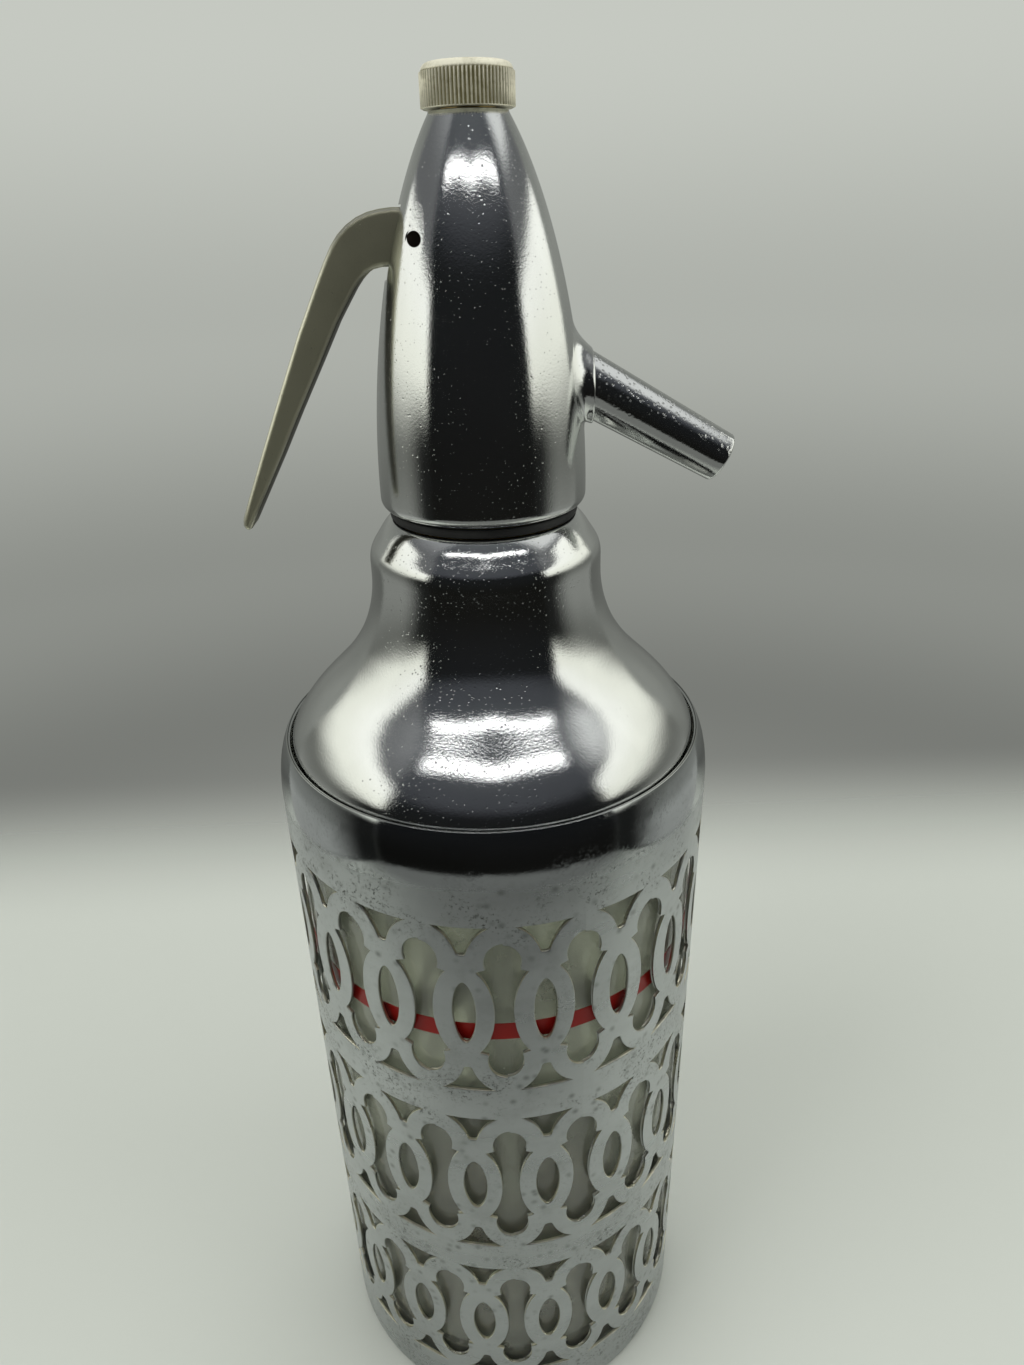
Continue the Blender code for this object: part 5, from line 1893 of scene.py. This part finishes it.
@dataclass
class Studio:
    """Camera, floor and plain light."""

    place: Vector = field(default_factory=lambda: Vector((0.0003, -0.2104, 0.3293)))
    yaw: float = math.radians(1.37)
    pitch: float = math.radians(27.06)
    roll: float = math.radians(-1.61)
    lens: float = 24.63
    floor_radius: float = 2.4
    floor_tone: Colour = (0.60, 0.625, 0.575, 1)
    # painted shadow on the floor in front of the siphon, which only reflections show
    shadow_across: Point = (0.16, 0.06)
    shadow_along: Point = (0.0, -0.06)
    near_fade: Point = (-0.07, -0.27)
    far_fade: Point = (0.17, 0.32)
    front_fade: Point = (-0.5, -0.7)
    side_fade: Point = (0.6, 1.2)
    surround: Colour = (0.62, 0.64, 0.60, 1)
    backdrop_levels: tuple[Point, ...] = ((-44, 0.5), (-35, 0.235), (-28, 0.19), (-19, 0.265),
                                          (-6, 0.42), (8, 0.56))
    wall_tones: Stops = ((-11, (0.10, 0.106, 0.096, 1)), (4, (0.12, 0.125, 0.125, 1)),
                         (32, (0.16, 0.165, 0.17, 1)), (60, (0.34, 0.35, 0.36, 1)))
    glare_tone: Colour = (0.85, 0.87, 0.86, 1)
    front_tones: Stops = ((-28.5, (0.2, 0.207, 0.195, 1)), (-26, (0.008, 0.008, 0.007, 1)),
                          (22, (0.011, 0.012, 0.013, 1)), (36, (0.07, 0.075, 0.085, 1)),
                          (70, (0.13, 0.14, 0.15, 1)), (84, (0.4, 0.41, 0.4, 1)))
    behind_tone: Colour = (0.24, 0.25, 0.235, 1)
    glare_rise: Point = (34, 42)
    glare_aside: Point = (62, 80)
    glare_widens: float = -16.0
    behind_rise: Point = (5, 35)
    behind_aside: Point = (114, 128)
    front_aside: Point = (66, 57)
    board_ends: tuple[Point, Point] = ((0.376, -0.244), (0.269, 0.155))
    board_heights: Point = (0.0, 0.45)
    # glow by height: a painted contact shadow at the foot and painted shade below the bright top
    board_tones: Stops = ((0.004, (0.05, 0.05, 0.05, 1)), (0.012, (0.42, 0.435, 0.41, 1)),
                          (0.09, (0.42, 0.435, 0.41, 1)), (0.15, (0.28, 0.29, 0.27, 1)),
                          (0.24, (0.18, 0.187, 0.17, 1)), (0.33, (1.15, 1.17, 1.05, 1)),
                          (0.42, (1.3, 1.32, 1.24, 1)))
    # painted shade on the board's low front end
    board_end_shade: Colour = (0.015, 0.016, 0.015, 1)
    board_end: Point = (0.0, -0.18)
    board_end_top: Point = (0.32, 0.24)
    lamps: tuple[Lamp, ...] = (Lamp("key", (-0.9, -0.5, 1.3), (0.8, 0.8), 8.0),
                               Lamp("fill", (1.1, -0.3, 0.9), (0.9, 0.9), 4.5),
                               Lamp("over", (0.1, 0.6, 1.5), (0.9, 0.9), 6.0))
    front_place: tuple[float, float, float] = (0.176, -0.338, 0.70)
    front_aim: tuple[float, float, float] = (0.055, 0.045, 0.23)
    front_size: Point = (0.37, 0.022)
    front_watts: float = 0.15

    def camera(self) -> None:
        """Set the camera in front of the siphon and above it, looking down."""
        forward = Vector((math.sin(self.yaw) * math.cos(self.pitch),
                          math.cos(self.yaw) * math.cos(self.pitch), -math.sin(self.pitch)))
        right = Vector((math.cos(self.yaw), -math.sin(self.yaw), 0))
        up = right.cross(forward)
        right_rolled = right * math.cos(self.roll) + up * math.sin(self.roll)
        up_rolled = up * math.cos(self.roll) - right * math.sin(self.roll)
        data = bpy.data.cameras.new("camera")
        data.lens = self.lens
        data.sensor_width = 36.0
        data.clip_start = 0.01
        item = bpy.data.objects.new("camera", data)
        turn = Matrix((right_rolled, up_rolled, -forward)).transposed().to_4x4()
        item.matrix_world = Matrix.Translation(self.place) @ turn
        bpy.context.scene.collection.objects.link(item)
        bpy.context.scene.camera = item

    def floor(self) -> None:
        """Lay a pale floor that ends softly before the backdrop and on the camera's side, with a
        painted shadow in front that only reflections show.
        """
        deselect()
        bpy.ops.mesh.primitive_circle_add(vertices=ROUND_SIDES, radius=self.floor_radius,
                                          fill_type="NGON")
        item = settle(bpy.context.object, "floor")
        made = dressing("pale_floor")
        graph = made.graph
        made.set(Base_Color=self.floor_tone, Roughness=0.75)
        parts = graph.split(made.place)
        sideways = graph.math("ABSOLUTE", parts["X"])
        reflected = graph.node("LightPath").outputs["Is Glossy Ray"]
        # painted shadow in front of the siphon: in reflections the floor lets the dark surroundings
        # through there
        front_shadow = graph.times(graph.ramp(sideways, *self.shadow_across),
                          graph.ramp(parts["Y"], *self.shadow_along))
        kept = graph.times(graph.ramp(parts["Y"], *self.near_fade, 1.0, 0.0),
                           graph.between(front_shadow, 1.0, 0.76))
        near = graph.times(graph.less(1.0, kept), reflected)
        fade = graph.most(graph.ramp(parts["Y"], *self.far_fade),
                          graph.most(graph.ramp(parts["Y"], *self.front_fade), near))
        fade = graph.most(fade, graph.ramp(sideways, *self.side_fade))
        clear = graph.node("BsdfTransparent").outputs[0]
        out = made.material.node_tree.nodes["Material Output"]
        graph.put(out.inputs["Surface"], graph.blend(fade, made.shader.outputs[0], clear))
        item.data.materials.append(made.material)

    def world(self) -> None:
        """A soft grey backdrop, with darker surroundings on the camera's side."""
        world = bpy.data.worlds.new("surround")
        bpy.context.scene.world = world
        world.use_nodes = True
        graph = Graph(world.node_tree)
        plain = world.node_tree.nodes["Background"]
        plain.inputs["Color"].default_value = self.surround
        plain.inputs["Strength"].default_value = 0.75
        parts = graph.split(graph.node("TexCoord").outputs["Generated"])
        x, y, z = (parts[k] for k in ("X", "Y", "Z"))
        rise = graph.times(graph.math("ARCSINE", z), math.degrees(1))
        aside = graph.math("ARCTAN2", x, graph.times(y, -1.0))
        aside = graph.times(aside, math.degrees(1))
        seen = graph.node("Background", Color=self.backdrop(graph, rise, 1.0), Strength=1.0)
        around = graph.node("Background", Color=self.around(graph, rise, aside), Strength=1.0)
        path = graph.node("LightPath")
        first = graph.blend(path.outputs["Is Glossy Ray"], plain.outputs[0], around.outputs[0])
        view = graph.most(path.outputs["Is Camera Ray"], path.outputs["Is Transmission Ray"])
        second = graph.blend(view, first, seen.outputs[0])
        graph.put(world.node_tree.nodes["World Output"].inputs["Surface"], second)

    def steps(self, graph: Graph, value: Socket, stops: Stops) -> Socket:
        """Blend through colours along a value.

        Args:
            graph: the node tree.
            value: what the stops are measured along.
            stops: values with their colours, lowest first.

        Returns:
            The blended colour.
        """
        tone: object = stops[0][1]
        for (low, _), (high, colour) in zip(stops, stops[1:]):
            tone = graph.mix(graph.ramp(value, low, high), tone, colour)
        return tone

    def backdrop(self, graph: Graph, rise: Socket, share: float) -> Socket:
        """Mix the backdrop's tone: pale above, shaded low down, pale as the floor below.

        Args:
            graph: the node tree.
            rise: elevation in degrees.
            share: how bright it is as a whole.

        Returns:
            The tone.
        """
        levels = ((angle, level * share) for angle, level in self.backdrop_levels)
        stops = tuple((angle, (grey, grey * 1.04, grey * 0.955, 1)) for angle, grey in levels)
        return self.steps(graph, rise, stops)

    def around(self, graph: Graph, rise: Socket, aside: Socket) -> Socket:
        """Mix the tones that polished metal mirrors, by direction.

        Args:
            graph: the node tree.
            rise: elevation in degrees.
            aside: bearing in degrees, 0 towards the front and growing to the right.

        Returns:
            The tone.
        """
        away = graph.math("ABSOLUTE", aside)
        wall = self.steps(graph, rise, self.wall_tones)
        glare = graph.times(graph.ramp(rise, *self.glare_rise),
                            graph.ramp(aside, *self.glare_aside))
        wall = graph.mix(glare, wall, self.glare_tone)
        front = self.steps(graph, rise, self.front_tones)
        behind = graph.mix(graph.ramp(rise, *self.behind_rise), self.backdrop(graph, rise, 0.55),
                           self.behind_tone)
        back = graph.ramp(graph.plus(away, graph.times(glare, self.glare_widens)),
                          *self.behind_aside)
        tone = graph.mix(back, wall, behind)
        return graph.mix(graph.ramp(away, *self.front_aside), tone, front)

    def board(self, name: str, side: float) -> None:
        """Stand a softly glowing board beside the siphon that only polished metal shows.

        Args:
            name: the board's name.
            side: -1 for the left, 1 for the right.
        """
        deselect()
        bpy.ops.mesh.primitive_plane_add(size=1)
        item = settle(bpy.context.object, name)
        corners = [(side * x, y, z) for z in self.board_heights for x, y in self.board_ends]
        for vertex, corner in zip(item.data.vertices, corners):
            vertex.co = corner
        made = dressing(name)
        graph = made.graph
        parts = graph.split(made.place)
        height = parts["Z"]
        # painted contact shadow and shade low down, and painted shade at the low front end
        glow = self.steps(graph, height, self.board_tones)
        front = graph.times(graph.ramp(parts["Y"], *self.board_end),
                            graph.ramp(height, *self.board_end_top))
        glow = graph.mix(front, glow, self.board_end_shade)
        made.set(Base_Color=(0, 0, 0, 1), Specular_IOR_Level=0.0, Emission_Color=glow,
                 Emission_Strength=1.0)
        made.material.cycles.emission_sampling = "NONE"
        item.data.materials.append(made.material)
        for path in ("camera", "diffuse", "transmission", "volume_scatter", "shadow"):
            setattr(item, f"visible_{path}", False)

    def build(self) -> None:
        """Set up the camera, the floor and the light."""
        self.camera()
        self.floor()
        self.world()
        for lamp in self.lamps:
            lamp.hang()
        for name, side in (("left", -1), ("right", 1)):
            self.board(f"board_{name}", side)
            spot, aim = ((side * x, y, z) for x, y, z in (self.front_place, self.front_aim))
            Lamp(f"front_{name}", spot, self.front_size, self.front_watts, True, aim).hang()
        bpy.context.scene.view_settings.view_transform = "Standard"


BRASS = ("collar_half_front", "collar_half_back", "neck_coupling", "valve_body", "dip_tube_nut",
         "valve_seat", "gland_nut", "valve_stem", "lift_collar", "charging_nipple",
         "check_retainer")
STEEL = ("base_cup", "return_spring", "check_ball", "check_spring")
RUBBER = ("foot_pad", "mouth_gasket", "stem_seal", "valve_disc", "cap_washer")


def dress_nodes(names: Iterable[str], material: Material) -> None:
    """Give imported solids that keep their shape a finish.

    Args:
        names: the solids' names.
        material: their finish.
    """
    for name in names:
        item = frame["nodes"][name]
        item.data.materials.clear()
        item.data.materials.append(material)
        LOG.info("%s: dressed as %s", name, material.name)


def dress_inner(effects: Effects) -> Material:
    """Make the finishes of the inner pieces and dress their solids.

    Args:
        effects: the shared shader groups.

    Returns:
        The black rubber, which the ring under the head also takes.
    """
    rubber = SoftStuff("black_rubber", (0.010, 0.010, 0.010, 1), (0.03, 0.03, 0.028, 1))
    brass = PlainMetal("turned_brass", (0.72, 0.55, 0.26, 1), (0.52, 0.37, 0.16, 1))
    steel = PlainMetal("bright_steel", (0.60, 0.60, 0.60, 1), (0.42, 0.42, 0.43, 1))
    aged = PlainMetal("aged_steel", (0.10, 0.08, 0.065, 1), (0.05, 0.036, 0.028, 1), 0.5)
    cork = SoftStuff("cork", (0.42, 0.27, 0.15, 1), (0.24, 0.14, 0.07, 1), 0.8, 400, 0.2 * MM)
    plastic = SoftStuff("milky_plastic", (0.74, 0.76, 0.72, 1), (0.66, 0.68, 0.64, 1), 0.3)
    black = rubber.build(effects)
    dress_nodes(RUBBER, black)
    for finish, names in ((brass, BRASS), (steel, STEEL), (aged, ("lever_pin",)),
                          (cork, ("bottle_cushion",)), (plastic, ("dip_tube",))):
        dress_nodes(names, finish.build(effects))
    return black


def main() -> None:
    """Build the studio, the new pieces and every finish."""
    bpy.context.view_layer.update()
    Studio().build()
    effects = Effects()
    head = Head()
    spout_top = head.crossing / MM * math.cos(head.droop)
    head_chrome = MirrorPlate("head_chrome", pit_size=0.14, pit_from=0.64,
                              hole=(head.pivot.x, 0, head.pivot.z))
    bell_chrome = MirrorPlate("shoulder_chrome", haze=0.07, worn_way=(-0.15, -0.745, 0.65),
                              worn_span=(171.0, 178.0))
    spout_chrome = MirrorPlate("spout_chrome", pit_size=0.46, stain=0.4, pit_roughness=0.5,
                               worn_way=(math.sin(head.droop), 0, math.cos(head.droop)),
                               worn_span=(spout_top + 0.4, spout_top + 3.4))
    bead_chrome = MirrorPlate("bead_chrome", haze=0.12, pit_size=0.1, pit_from=0.7)
    rubber = dress_inner(effects)
    Jacket().build(SheetPlate().build(effects), bead_chrome.build(effects))
    Bottle().build(ThickGlass().build(effects), PaintedLine().build(effects))
    Shoulder().build(bell_chrome.build(effects))
    head.build(head_chrome.build(effects))
    Spout().build(head, spout_chrome.build(effects))
    Lever().build(head, CastAlloy("lever_alloy").build(effects))
    Cap().build(KnurledAlloy().build(effects))
    SealRing().build(rubber)
    deselect()


if __name__ == "__main__":
    logging.basicConfig(level=logging.INFO)
    main()
